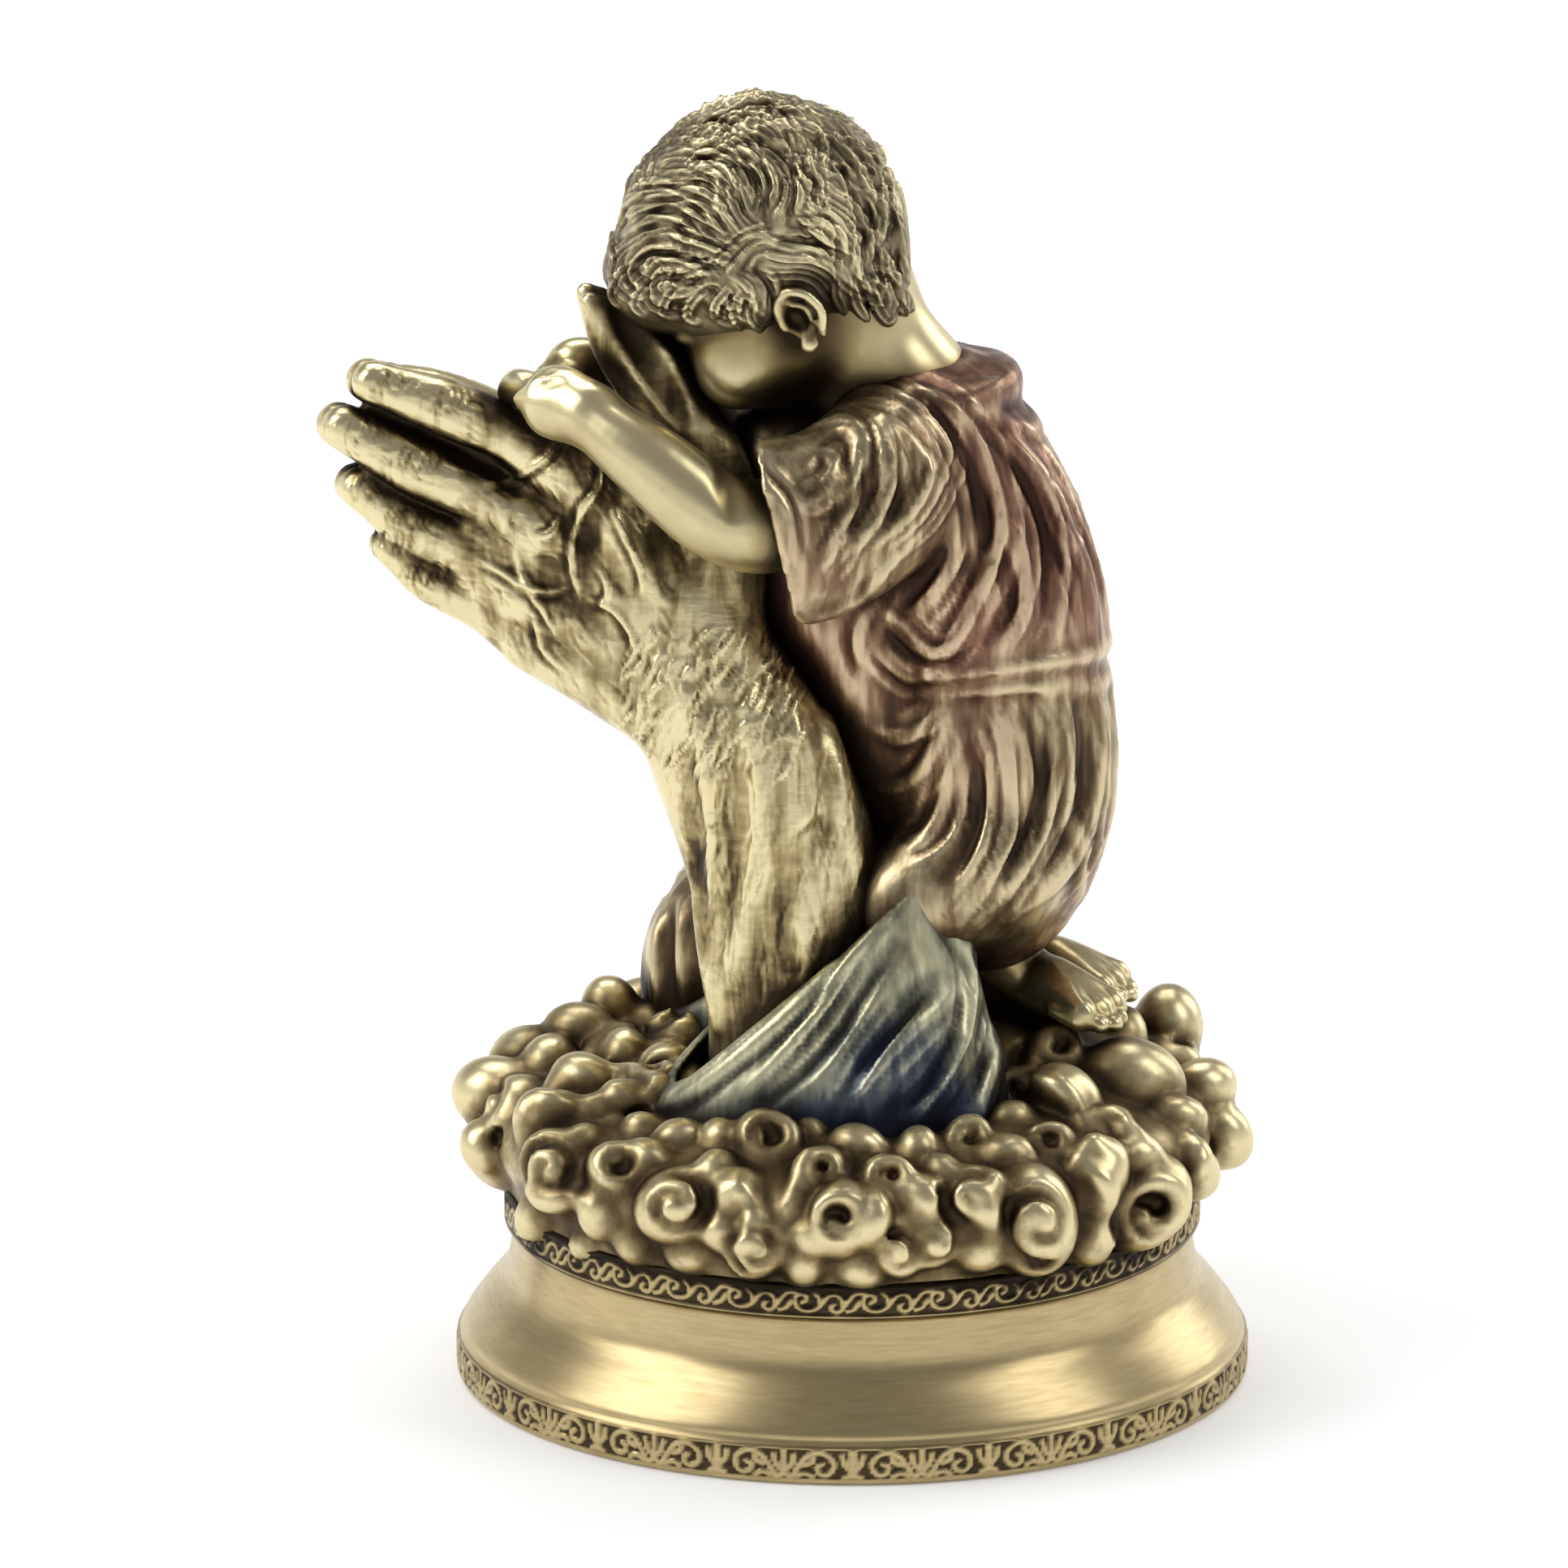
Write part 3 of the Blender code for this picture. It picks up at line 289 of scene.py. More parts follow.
def stroke(clay, view, line, radius, rise, fillet, onto=None):
    """Raises a rounded fold along a drawn line, or cuts a groove where the rise is negative."""
    for hits, out in runs(onto or clay, view, line):
        swell = np.sqrt(np.sin(np.linspace(0.06, 0.94, len(hits)) * math.pi))
        sizes = radius * swell
        sign = 1.0 if rise > 0 else -1.0
        clay.rod(hits - sign * out * (sizes - abs(rise) * swell)[:, None], sizes, fillet, rise < 0)


class Surface:
    """A sculpted mesh whose points can be raised along fine drawn lines."""

    def __init__(self, points, quads):
        self.points, self.quads = points, quads
        self.worn = None
        edges = np.sort(np.concatenate([quads[:, [i, (i + 1) % 4]] for i in range(4)]), 1)
        keys = np.unique(edges[:, 0].astype(np.int64) * len(points) + edges[:, 1])
        self.edges = np.stack((keys // len(points), keys % len(points)), 1)
        self.degree = np.bincount(self.edges.ravel(), minlength=len(points)).astype(float)

    def normals(self):
        a, b, c, d = (self.points[self.quads[:, i]] for i in range(4))
        face = np.cross(c - a, d - b)
        out = np.stack([np.bincount(self.quads.ravel(), np.repeat(face[:, i], 4), len(self.points))
                        for i in range(3)], 1)
        return out / (np.linalg.norm(out, axis=1, keepdims=True) + 1e-12)

    def spread(self, values, rounds):
        """Values smoothed over the surface, each round mixing a point with its neighbours."""
        first, second = self.edges.T
        for _ in range(rounds):
            total = np.zeros_like(values)
            for i in range(values.shape[1]):
                total[:, i] = (np.bincount(first, values[second, i], len(values))
                               + np.bincount(second, values[first, i], len(values)))
            values = 0.4 * values + 0.6 * total / self.degree[:, None]
        return values

    def relief(self):
        """How proud each point stands of its surroundings, in millimetres, at a fine and a broad scale."""
        out = self.normals()
        fine = self.spread(self.points, 4)
        broad = self.spread(fine, 30)
        return ((self.points - fine) * out).sum(1), ((self.points - broad) * out).sum(1)

    def raise_lines(self, lines, facing=0.1):
        """Moves points near each line along their normals: its points, half width, height and direction."""
        out = self.normals()
        order = np.argsort(self.points[:, 2])
        heights = self.points[order, 2]
        lift = np.zeros(len(self.points))
        for line, width, height, way in lines:
            low, high = line.min(0) - width, line.max(0) + width
            near = order[np.searchsorted(heights, low[2]):np.searchsorted(heights, high[2])]
            spots = self.points[near]
            keep = ((spots[:, :2] > low[:2]) & (spots[:, :2] < high[:2])).all(1)
            near, spots = near[keep], spots[keep]
            if not len(near):
                continue
            best = np.full(len(near), 1e9)
            place = np.zeros(len(near))
            for i, (a, b) in enumerate(zip(line[:-1], line[1:])):
                along = b - a
                share = np.clip((spots - a) @ along / max(along @ along, 1e-9), 0, 1)
                gap = np.linalg.norm(spots - a - share[:, None] * along, axis=1)
                closer = gap < best
                best[closer] = gap[closer]
                place[closer] = (i + share[closer]) / (len(line) - 1)
            taper = np.sqrt(np.clip(np.sin(math.pi * np.clip(place, 0.02, 0.98)), 0, 1))
            profile = np.clip(1.0 - (best / (width * (0.45 + 0.55 * taper))) ** 2, 0, 1) ** 2
            profile *= (out[near] @ way > facing)
            lift[near] += height * taper * profile
        self.points = self.points + out * lift[:, None]


# Large hands

WRIST = (-21.5, 78.6)
FINGERS = {
    "index": (((64.2, 10.6), (53.6, 13.4), (34.5, 15.6)), (0.82, 1.0, 1.3)),
    "middle": (((64.0, 2.6), (52.4, 3.6), (31.5, 6.0)), (0.86, 1.03, 1.35)),
    "ring": (((57.0, -3.8), (47.4, -4.2), (28.2, -3.0)), (0.82, 0.98, 1.25)),
    "little": (((48.4, -9.0), (41.0, -10.0), (24.2, -9.5)), (0.7, 0.8, 1.0)),
}
FOREARM = ((-6.5, 6.0), (-7.0, 20.0), (-7.4, 35.0), (-10.2, 52.5), (-15.6, 67.4), WRIST)
FOREARM_DEPTH = (14.0, 13.5, 12.5, 11.0, 10.2, 9.5)
FOREARM_TAPER = (1.0, 0.96, 0.95, 0.96, 0.93, 0.8)


def hand_point(along, across, depth):
    """A point on a large hand: along it from the wrist, across towards the thumb, and out from the palms."""
    if depth > 0:
        across -= FAR_DROP * max(0.0, along) / 60.0
    tilt_x, tilt_z = math.cos(HAND_TILT), math.sin(HAND_TILT)
    return at(WRIST[0] - along * tilt_x + across * tilt_z, depth, WRIST[1] + along * tilt_z + across * tilt_x)


def forearm(clay, side):
    path = [at(x, side * depth, z) for (x, z), depth in zip(FOREARM, FOREARM_DEPTH)]
    clay.limb(path, [FOREARM_RADIUS * t for t in FOREARM_TAPER], 2.0, FOREARM_FLATNESS)


def palm(clay, side):
    size = FINGER_RADIUS
    clay.limb([hand_point(0, -1, side * 7.0), hand_point(14, 0, side * 4.5), hand_point(31, 2, side * 3.8)],
              [3.0 * size, 3.3 * size, 3.2 * size], 3.0, 0.42)
    edge = [hand_point(-3, -5, side * 9.0), hand_point(8, -6.2, side * 7.5), hand_point(22, -7.4, side * 5.0)]
    clay.limb(edge, [1.25 * size, 1.32 * size, 1.08 * size], 3.0)
    starts = {"index": 7.0, "middle": 2.5, "ring": -2.0, "little": -6.0}
    for name, across in starts.items():
        knuckle, share = FINGERS[name][0][2], FINGERS[name][1][2]
        bend = ((knuckle[0] + 3) / 2, (knuckle[1] + across) / 2)
        clay.limb([hand_point(3, across, side * 10.5), hand_point(*bend, side * 8.3),
                   hand_point(*knuckle, side * 5.8)],
                  [1.5 * size, 1.15 * size, share * size], 2.2)


def finger(clay, side, name):
    joints, shares = FINGERS[name]
    radii = [FINGER_RADIUS * share for share in shares]
    tip, middle, knuckle = joints
    half = ((middle[0] + knuckle[0]) / 2, (middle[1] + knuckle[1]) / 2 + 0.4)
    last = ((middle[0] + 2 * tip[0]) / 3, (middle[1] + 2 * tip[1]) / 3)
    path = [hand_point(*tip, side * radii[0] * 0.92), hand_point(*last, side * radii[0] * 1.0),
            hand_point(*middle, side * radii[1] * 1.02), hand_point(*half, side * radii[1] * 1.05),
            hand_point(*knuckle, side * (radii[2] + 0.6))]
    clay.limb(path, [radii[0] * 0.96, radii[0] * 1.04, radii[1] * 1.02, radii[1] * 1.06, radii[2]], 0.7)


def thumb(clay, side):
    size = THUMB_RADIUS
    path = [hand_point(4, 8, side * 9.0), hand_point(13, 24, side * 7.2), hand_point(28, 32.5, side * 5.6),
            hand_point(37, 35.8, side * 4.6), hand_point(44.6, 38.2, side * 4.2)]
    clay.limb(path, [1.45 * size, 1.2 * size, 1.1 * size, 0.92 * size, 0.3 * size], 2.2, 0.85)
    base = [hand_point(8, 4, side * 8.0), hand_point(22, 16, side * 5.0)]
    clay.limb(base, [1.7 * size, 1.1 * size], 3.0, 0.7)


def hand_forms(clay, side):
    forearm(clay, side)
    palm(clay, side)
    thumb(clay, side)
    for name in FINGERS:
        finger(clay, side, name)


def large_hand(side, step):
    low, high = (-84, -26, BASE_HEIGHT), (14, 2, BASE_HEIGHT + 146)
    if side > 0:
        low, high = (low[0], -2, low[2]), (high[0], 26, high[2])
    clay = Clay(low, high, step)
    hand_forms(clay, side)
    web = [hand_point(62, 6.4, side * 1.2), hand_point(50, 8.3, side * 1.5), hand_point(36, 10.6, side * 2.5)]
    clay.limb(web, [1.5, 2.0, 2.4], 0.6)
    return clay


# Sleeves of the large hands

RIM_NORMAL = np.array((-0.642, 0.0, 0.766))
RIM_POINT = (-10.0, 0.0, 35.2)


def below_rim(grid, drop=0.0):
    """Distance above the plane that the cuffs are cut to, lowered by a drop."""
    point = at(*RIM_POINT) - drop * RIM_NORMAL
    return sum((g - p) * n for g, p, n in zip(grid, point, RIM_NORMAL))


def sleeve(clay, side):
    size = SLEEVE_RADIUS
    path = [at(2.0, side * 11.0, 52.0), at(0.5, side * 13.5, 40.0), at(-1.5, side * 15.5, 27.0),
            at(-3.0, side * 18.0, 14.0), at(-3.0, side * 19.0, 2.0)]
    radii = np.array((0.5, 0.66, 0.86, 1.05, 1.1)) * size
    clay.limb(path, radii, 1.0, 0.72, within=below_rim)
    hollow = [p + np.array((-1.0, 0.0, 0.0)) for p in path]
    clay.limb(hollow, radii - CUFF_WALL, 0.8, 0.72, cut=True, within=lambda grid: -below_rim(grid, 5.0))


# Child

def head_ball(clay, place, shares, fillet, cut=False):
    """An ellipsoid on the head, its place and radii given as shares of the head's radius."""
    clay.ball(head_point(*place), np.array(shares) * HEAD_RADIUS, fillet, HEAD_TURN, cut)


def head_limb(clay, places, shares, fillet, flat=1.0, cut=False):
    """A limb on the head, its places and radii given as shares of the head's radius."""
    clay.limb([head_point(*place) for place in places], np.array(shares) * HEAD_RADIUS, fillet, flat, cut=cut)


def skull(clay):
    head_ball(clay, (0.05, 0, -0.05), (0.96, 0.88, 0.85), 1.0)
    head_ball(clay, (0.88, 0, 0.04), (0.28, 0.62, 0.33), 3.0)
    head_limb(clay, ((-0.32, 0, -0.5), (-0.3, 0, -0.8)), (0.5, 0.37), 3.0, 1.25)


def face(clay):
    head_ball(clay, (0.05, 0, -0.05), (0.93, 0.85, 0.82), 1.0)
    head_ball(clay, (0.28, 0, -0.55), (0.62, 0.66, 0.7), 4.0)
    head_ball(clay, (0.4, 0, -0.98), (0.36, 0.4, 0.28), 3.5)
    head_limb(clay, ((0.84, 0, -0.22), (0.86, 0, -0.5)), (0.1, 0.11), 3.0)
    for side in SIDES:
        head_ball(clay, (0.62, side * 0.38, -0.72), (0.31, 0.31, 0.31), 3.0)
        head_ball(clay, (1.0, side * 0.36, -0.3), (0.2, 0.24, 0.13), 1.6, True)
        head_ball(clay, (0.77, side * 0.33, -0.32), (0.13, 0.17, 0.12), 0.8)
        lid = [head_point(0.97, side * (0.2 + 0.15 * i), -0.36 - 0.05 * math.sin(i * 1.5)) for i in range(3)]
        clay.limb(lid, [0.3, 0.35, 0.3], 0.4, cut=True)
        ear(clay, side)
    for up, radius in ((-0.8, 0.055), (-0.9, 0.065)):
        lip = [(0.9 - 0.12 * abs(i), 0.1 * i, up + 0.02 * abs(i)) for i in (-1.6, -0.7, 0, 0.7, 1.6)]
        head_limb(clay, lip, (0.02, radius, radius, radius, 0.02), 0.7)
    clay.limb([head_point(-0.3, 0, -0.45), at(1.5, 0, 128.0), at(7.0, 0, 118.0)],
              np.array((0.5, 0.5, 0.58)) * HEAD_RADIUS, 3.0)


def ear(clay, side):
    head_ball(clay, (0.0, side * 0.75, -0.54), (0.15, 0.1, 0.2), 0.8)
    rim = [(0.15 * math.cos(a), side * (0.84 - 0.04 * math.cos(a)), -0.54 + 0.2 * math.sin(a))
           for a in np.radians((-115, -170, -220, -270, -320, -370))]
    head_limb(clay, rim, (0.03, 0.036, 0.04, 0.042, 0.038, 0.03), 0.8)
    head_ball(clay, (0.04, side * 0.88, -0.56), (0.085, 0.14, 0.12), 0.4, True)
    ridge = ((0.02, side * 0.85, -0.42), (-0.07, side * 0.86, -0.5), (-0.05, side * 0.86, -0.62))
    head_limb(clay, ridge, (0.018, 0.024, 0.018), 0.5)
    head_ball(clay, (0.06, side * 0.8, -0.75), (0.07, 0.05, 0.07), 0.5)


TORSO = ((10.5, 116.0), (13.2, 107.0), (17.3, 96.0), (20.0, 85.0), (20.6, 78.5), (20.8, 69.0), (20.6, 58.0),
         (20.0, 48.0), (18.8, 41.0), (17.5, 37.5))
TORSO_TAPER = (0.62, 0.9, 0.96, 0.98, 0.92, 0.99, 0.96, 0.81, 0.5, 0.26)


def torso(clay):
    clay.limb([at(x, 0, z) for x, z in TORSO], [TORSO_RADIUS * t for t in TORSO_TAPER], 2.0, 1.02)
    collar = [at(12.0 + 10.5 * math.cos(a), 12.5 * math.sin(a), 121.0 + 2.0 * math.cos(a))
              for a in np.radians((-110, -75, -40, 0, 40, 75, 110))]
    clay.limb(collar, [0.1 * TORSO_RADIUS] * 7, 1.4)
    clay.ball(at(14.0, 0, 121.5), (10.4, 12.0, 3.4), 2.0)
    clay.limb([at(16.5, 0, 118.5), at(15.5, 0, 108.0)], [7.2, 12.6], 3.0)
    clay.limb([at(-10, 0, 112), at(-7, 0, 102)], [8.0, 9.0], 4.0)
    for side in SIDES:
        clay.limb([at(8.0, side * 6.0, 114.0), at(3.6, side * 15.0, 113.0)],
                  [0.7 * TORSO_RADIUS, 0.62 * TORSO_RADIUS], 4.0)
        child_sleeve(clay, side)
    clay.limb([at(19.2, 12, 52), at(2, 19, 44), at(-18, 22.5, 31), at(-20.5, 22.5, 17), at(-20, 22, 8)],
              [13.0, 12.5, 11.0, 10.2, 10.0], 3.0)
    clay.limb([at(19.2, -9, 52), at(9, -11, 46)], [12.3, 10.5], 3.0)
    clay.limb([at(-2, 0, 107), at(0, 0, 92), at(3, 0, 78), at(6, 0, 62)], [10.0, 11.0, 10.0, 9.0], 4.0)
    clay.limb([at(-4, 0, 104), at(-7, 0, 92), at(0, 0, 80)], [8.0, 9.0, 9.0], 4.0)
    clay.limb([at(-12, 18, 16), at(14, 14, 22), at(22, 9, 30)], [9.0, 9.0, 6.0], 3.0)


def cuff_side(grid):
    """Distance beyond the open end of a child's sleeve."""
    point, out = at(-11.0, 0, 105.7), np.array((-0.973, 0.0, -0.23))
    return sum((g - p) * n for g, p, n in zip(grid, point, out))


def child_sleeve(clay, side):
    path = [at(7, side * 11, 110.5), at(0, side * 17.5, 108.0), at(-7, side * 21.5, 106.0),
            at(-20, side * 24.5, 105.0)]
    radii = TORSO_RADIUS * np.array((0.7, 0.76, 0.8, 0.84))
    clay.limb(path, radii, 2.0, 0.62, within=cuff_side)
    clay.limb(path[1:], radii[1:] - 1.9, 0.8, 0.56, cut=True, within=lambda grid: -3.5 - cuff_side(grid))


def arm(clay, side):
    size = ARM_RADIUS
    drop = FAR_HAND_DROP if side > 0 else 0.0

    def spot(x, y, z):
        return at(x + 0.8 * drop, side * y, z - drop)

    clay.limb([at(3, side * 17, 113), at(-10, side * 22.5, 107), at(-19.2, side * 24.0, 108.3),
               at(-29.7, side * 21.5, 116.0 - 0.6 * drop), spot(-38.6, 17.0, 121.8)],
              [1.2 * size, 1.2 * size, 1.14 * size, 0.98 * size, 0.72 * size], 1.2)
    clay.limb([spot(-38.0, 17.0, 121.6), spot(-42.5, 13.5, 122.4)], [0.86 * size, 0.98 * size], 1.5, 0.72)
    for spread in range(4):
        lean = spread * 1.5
        clay.limb([spot(-40.5 - 1.2 * lean, 13.5 - lean, 122.6), spot(-44.0 - lean, 10.0 - lean, 123.0),
                   spot(-46.8 - 0.7 * lean, 7.6 - 0.8 * lean, 121.2)],
                  [0.42 * size, 0.4 * size, 0.33 * size], 0.4)
    clay.limb([spot(-40.0, 16.5, 121.0), spot(-45.2, 14.0, 122.8), spot(-47.8, 12.4, 122.6)],
              [0.4 * size, 0.36 * size, 0.28 * size], 0.6)


FEET = (((25.2, 2.5, 30.8), (38.2, -8.0, 27.0)), ((25.0, 14.0, 29.8), (40.6, 8.6, 26.4)))


def foot(clay, heel, toes):
    """A foot stretched back on the cloud, from its heel to the middle of its row of toes."""
    heel, toes = np.array(heel, float), np.array(toes, float)
    run = toes - heel
    row = np.cross(run, (0, 0, 1))
    row /= np.linalg.norm(row)
    size = FOOT_RADIUS
    shin = heel + np.array((-7.0, -1.0, 7.0))
    clay.limb([at(*shin), at(*heel), at(*(heel + 0.45 * run)), at(*(heel + 0.8 * run))],
              [1.25 * size, 1.1 * size, 0.95 * size, 0.62 * size], 1.2)
    for lean in (-1.0, 1.0):
        clay.limb([at(*(heel + 0.3 * run + lean * row)), at(*(heel + 0.78 * run + lean * 3.6 * row))],
                  [size, 0.62 * size], 1.5, 0.7, row)
    for place in range(5):
        spot = toes + (place - 2) * 2.3 * row + np.array((0.0, 0.0, -0.6)) - 0.05 * (place - 2) ** 2 * run
        tip = 0.32 + 0.1 * (place == 0)
        clay.limb([at(*(spot - 0.25 * run)), at(*spot)], [0.3 * size, tip * size], 0.5)


# Cloud

PUFFS = (
    (610, 1345, 50), (596, 1408, 30), (680, 1378, 42), (690, 1440, 50), (665, 1495, 34), (765, 1435, 38),
    (740, 1490, 32), (838, 1480, 50), (948, 1405, 44), (935, 1530, 40), (892, 1512, 30), (1035, 1495, 42),
    (1195, 1470, 44), (1104, 1536, 32), (1152, 1526, 32), (1096, 1448, 34), (1190, 1402, 34), (1240, 1420, 34),
    (1270, 1498, 60), (1288, 1408, 34), (1312, 1352, 44), (1350, 1440, 42), (1392, 1330, 60), (1440, 1262, 46),
    (1482, 1338, 40), (1506, 1394, 40), (1410, 1480, 56), (1462, 1440, 40), (675, 1312, 40), (712, 1268, 40),
    (752, 1250, 40), (1360, 1388, 34), (800, 1425, 30), (1010, 1440, 34), (1060, 1560, 26), (990, 1550, 28),
    (1210, 1532, 34), (1335, 1520, 36), (1300, 1290, 34), (720, 1330, 40), (770, 1300, 34), (850, 1540, 28),
    (780, 1525, 28), (722, 1528, 22), (1140, 1470, 30), (880, 1440, 30), (1450, 1375, 34), (1380, 1272, 34),
    (835, 1398, 30), (892, 1398, 28), (1003, 1394, 30), (1056, 1408, 34), (1130, 1412, 30), (1244, 1374, 28),
    (1162, 1440, 26), (905, 1462, 30), (1000, 1520, 26), (1075, 1500, 30), (1395, 1420, 34),
    (690, 1345, 26), (728, 1368, 28), (762, 1350, 24), (716, 1404, 26), (792, 1382, 22),
)
RINGS = (5, 8, 11, 16, 19, 15, 26, 31, 33, 38)
ROSES = (3, 7, 9, 12, 18, 13, 14)
CLOUD_ARCS = (
    ((978, 1362), (1002, 1395), (990, 1440), (966, 1492)),
    ((905, 1540), (924, 1512), (926, 1482), (908, 1452)),
    ((1262, 1326), (1305, 1336), (1334, 1392), (1318, 1446)),
    ((1340, 1436), (1364, 1466), (1350, 1504), (1372, 1534)),
    ((1452, 1392), (1478, 1418), (1466, 1456)),
    ((1340, 1408), (1366, 1384), (1402, 1392)),
    ((1226, 1440), (1214, 1474), (1226, 1514), (1256, 1544)),
    ((636, 1376), (660, 1350), (702, 1356)),
    ((1064, 1524), (1082, 1490), (1070, 1456)),
    ((640, 1452), (672, 1478), (716, 1474)),
)


def far_puffs():
    """Puffs for the side the photograph doesn't show: angle round the base, reach, height and radius."""
    places = []
    for turn in range(17):
        places.append((-2 + 11.5 * turn, 50.0, 5.5 + 2.0 * (turn % 2), 4.6 + 1.0 * ((turn * 5) % 3)))
        places.append((3 + 11.5 * turn, 48.6, 10.4 + 1.2 * (turn % 3), 4.4 + 1.1 * ((turn * 7) % 3)))
        places.append((1 + 11.5 * turn, 38.4, 13.6 + 1.2 * (turn % 2), 4.8 + 1.1 * ((turn * 4) % 3)))
    return places


def top_puffs():
    """Puffs over the top of the cloud, round the feet and the drape: angle, reach, height and radius."""
    places = []
    for turn in [t for t in range(24) if not 14 < t < 22]:
        places.append((15 * turn + 4 * (turn % 2), 34.5, 14.2 + (turn % 3), 4.6 + 0.8 * ((turn * 5) % 3)))
        if turn > 4:
            places.append((15 * turn - 5, 27.5, 16.6 + 0.8 * (turn % 2), 4.0 + 0.8 * ((turn * 7) % 3)))
    return places


def round_frame(way):
    across = np.cross(way, (0.0, 0.0, 1.0))
    across /= np.linalg.norm(across) + 1e-9
    return across, np.cross(across, way)


def rose(clay, centre, way, radius, turns=1.6, start=0.0):
    """Cuts a spiral into the face of a puff."""
    across, up = round_frame(way)
    share = np.linspace(0.0, 1.0, 30)
    angle = start + 2 * math.pi * turns * share
    lean = np.radians(58.0 - 46.0 * share)
    round_it = np.outer(np.cos(angle), across) + np.outer(np.sin(angle), up)
    spots = centre + radius * 1.02 * (np.outer(np.cos(lean), way) + np.sin(lean)[:, None] * round_it)
    clay.rod(spots, np.linspace(1.25, 0.6, 30) * min(1.1, radius / 5.0), 0.6, True)


def ring(clay, centre, way, radius, start=0.0):
    """Hollows the face of a puff and lays a rolled curl in it that ends in a knob."""
    across, up = round_frame(way)
    clay.ball(centre + way * radius * 1.05, 0.7 * radius, 0.6, None, True)
    share = np.linspace(0.0, 1.0, 30)
    angle = start + 1.75 * math.pi * share
    reach = (0.72 - 0.42 * share ** 2)[:, None]
    round_it = np.outer(np.cos(angle), across) + 0.9 * np.outer(np.sin(angle), up)
    spots = centre + radius * (np.outer(0.6 - 0.06 * share, way) + reach * round_it)
    clay.rod(spots, (0.17 + 0.13 * np.sin(math.pi * share)) * radius, 0.5)
    clay.ball(spots[-1], 0.24 * radius, 0.5)


def shape_puffs(clay, puffs):
    """Adds puffs, each a centre, an outward direction, a radius and a kind: 0 plain, 1 a rose, 2 a ring."""
    for count, (centre, way, radius, kind) in enumerate(puffs):
        across, up = round_frame(way)
        turn = 1.3 * count
        slant = math.cos(turn) * across + math.sin(turn) * up
        frame = np.column_stack((slant, np.cross(way, slant), way))
        clay.ball(centre, (1.2 * radius, 0.96 * radius, 1.04 * radius), 1.1, frame)
    for count, (centre, way, radius, kind) in enumerate(puffs):
        if kind == 1:
            rose(clay, centre, way, radius, 1.15, 2.0 * count)
        if kind == 2:
            ring(clay, centre, way, radius, 1.7 * count)


def cloud(clay):
    clay.ball(at(0, 0, -2.0), (CLOUD_RADIUS + 4.0, CLOUD_RADIUS + 4.0, CLOUD_HEIGHT), 3.0)
    clay.ball(at(22, 3, 5), (26, 30, 20), 5.0)
    for reach, height, radius in ((46.0, 8.5, 6.8), (38.0, 9.0, 9.0), (27.0, 8.0, 10.6)):
        loop = [at(reach * math.cos(a), reach * math.sin(a), height) for a in np.linspace(0, 2 * math.pi, 33)]
        clay.limb(loop, [radius] * len(loop), 4.0)
    puffs = []
    for count, (angle, reach, height, radius) in enumerate(far_puffs() + top_puffs()):
        turn = math.radians(angle)
        way = np.array((math.cos(turn), math.sin(turn), 0.35 if reach > 45 else 1.2))
        puffs.append((at(reach * math.cos(turn), reach * math.sin(turn), height), way / np.linalg.norm(way),
                      radius, (1, 0, 2, 0, 1)[count % 5]))
    shape_puffs(clay, puffs)
    hits, out, _ = traced(clay, "near", np.array([puff[:2] for puff in PUFFS], float))
    toward = np.array((0.0, -0.956, 0.292))
    puffs = []
    for count, (puff, hit, way) in enumerate(zip(PUFFS, hits, out)):
        lean = way + 1.5 * toward
        kind = 1 if count in ROSES else 2 if count in RINGS else 0
        centre = hit - 0.6 * way - 0.22 * puff[2] / PIXEL * (way @ toward) * toward
        puffs.append((centre, lean / np.linalg.norm(lean), puff[2] / PIXEL, kind))
    shape_puffs(clay, puffs)
    for line in CLOUD_ARCS:
        stroke(clay, "near", line, *CLOUD_ROLL)


# Folds and locks, drawn as lines. Each kind of stroke has a radius, a rise and a fillet, in millimetres

ROBE_FOLD, ROBE_GROOVE = (1.7, 0.9, 1.1), (1.6, -0.9, 1.1)
SLEEVE_FOLD, BELT_EDGE = (1.4, 0.85, 0.9), (1.2, 0.8, 0.5)
DRAPE_FOLD, DRAPE_GROOVE = (2.0, 1.1, 1.0), (2.2, -1.1, 1.2)
ELBOW_CREASE, FINGER_CLEFT = (1.6, -0.6, 1.4), (0.9, -0.8, 0.5)
LOCK, FRINGE_LOCK, CROWN_LOCK = (2.2, 1.35, 0.7), (1.25, 1.0, 0.4), (2.2, 0.8, 0.9)
TENDON, FOREARM_HOLLOW = (2.8, 1.1, 2.0), (2.6, -1.1, 2.0)
HAND_HOLLOW, FACET_CUT = (1.6, -0.7, 1.2), (3.6, -1.7, 0.5)
CLOUD_ROLL = (2.1, 1.4, 0.9)

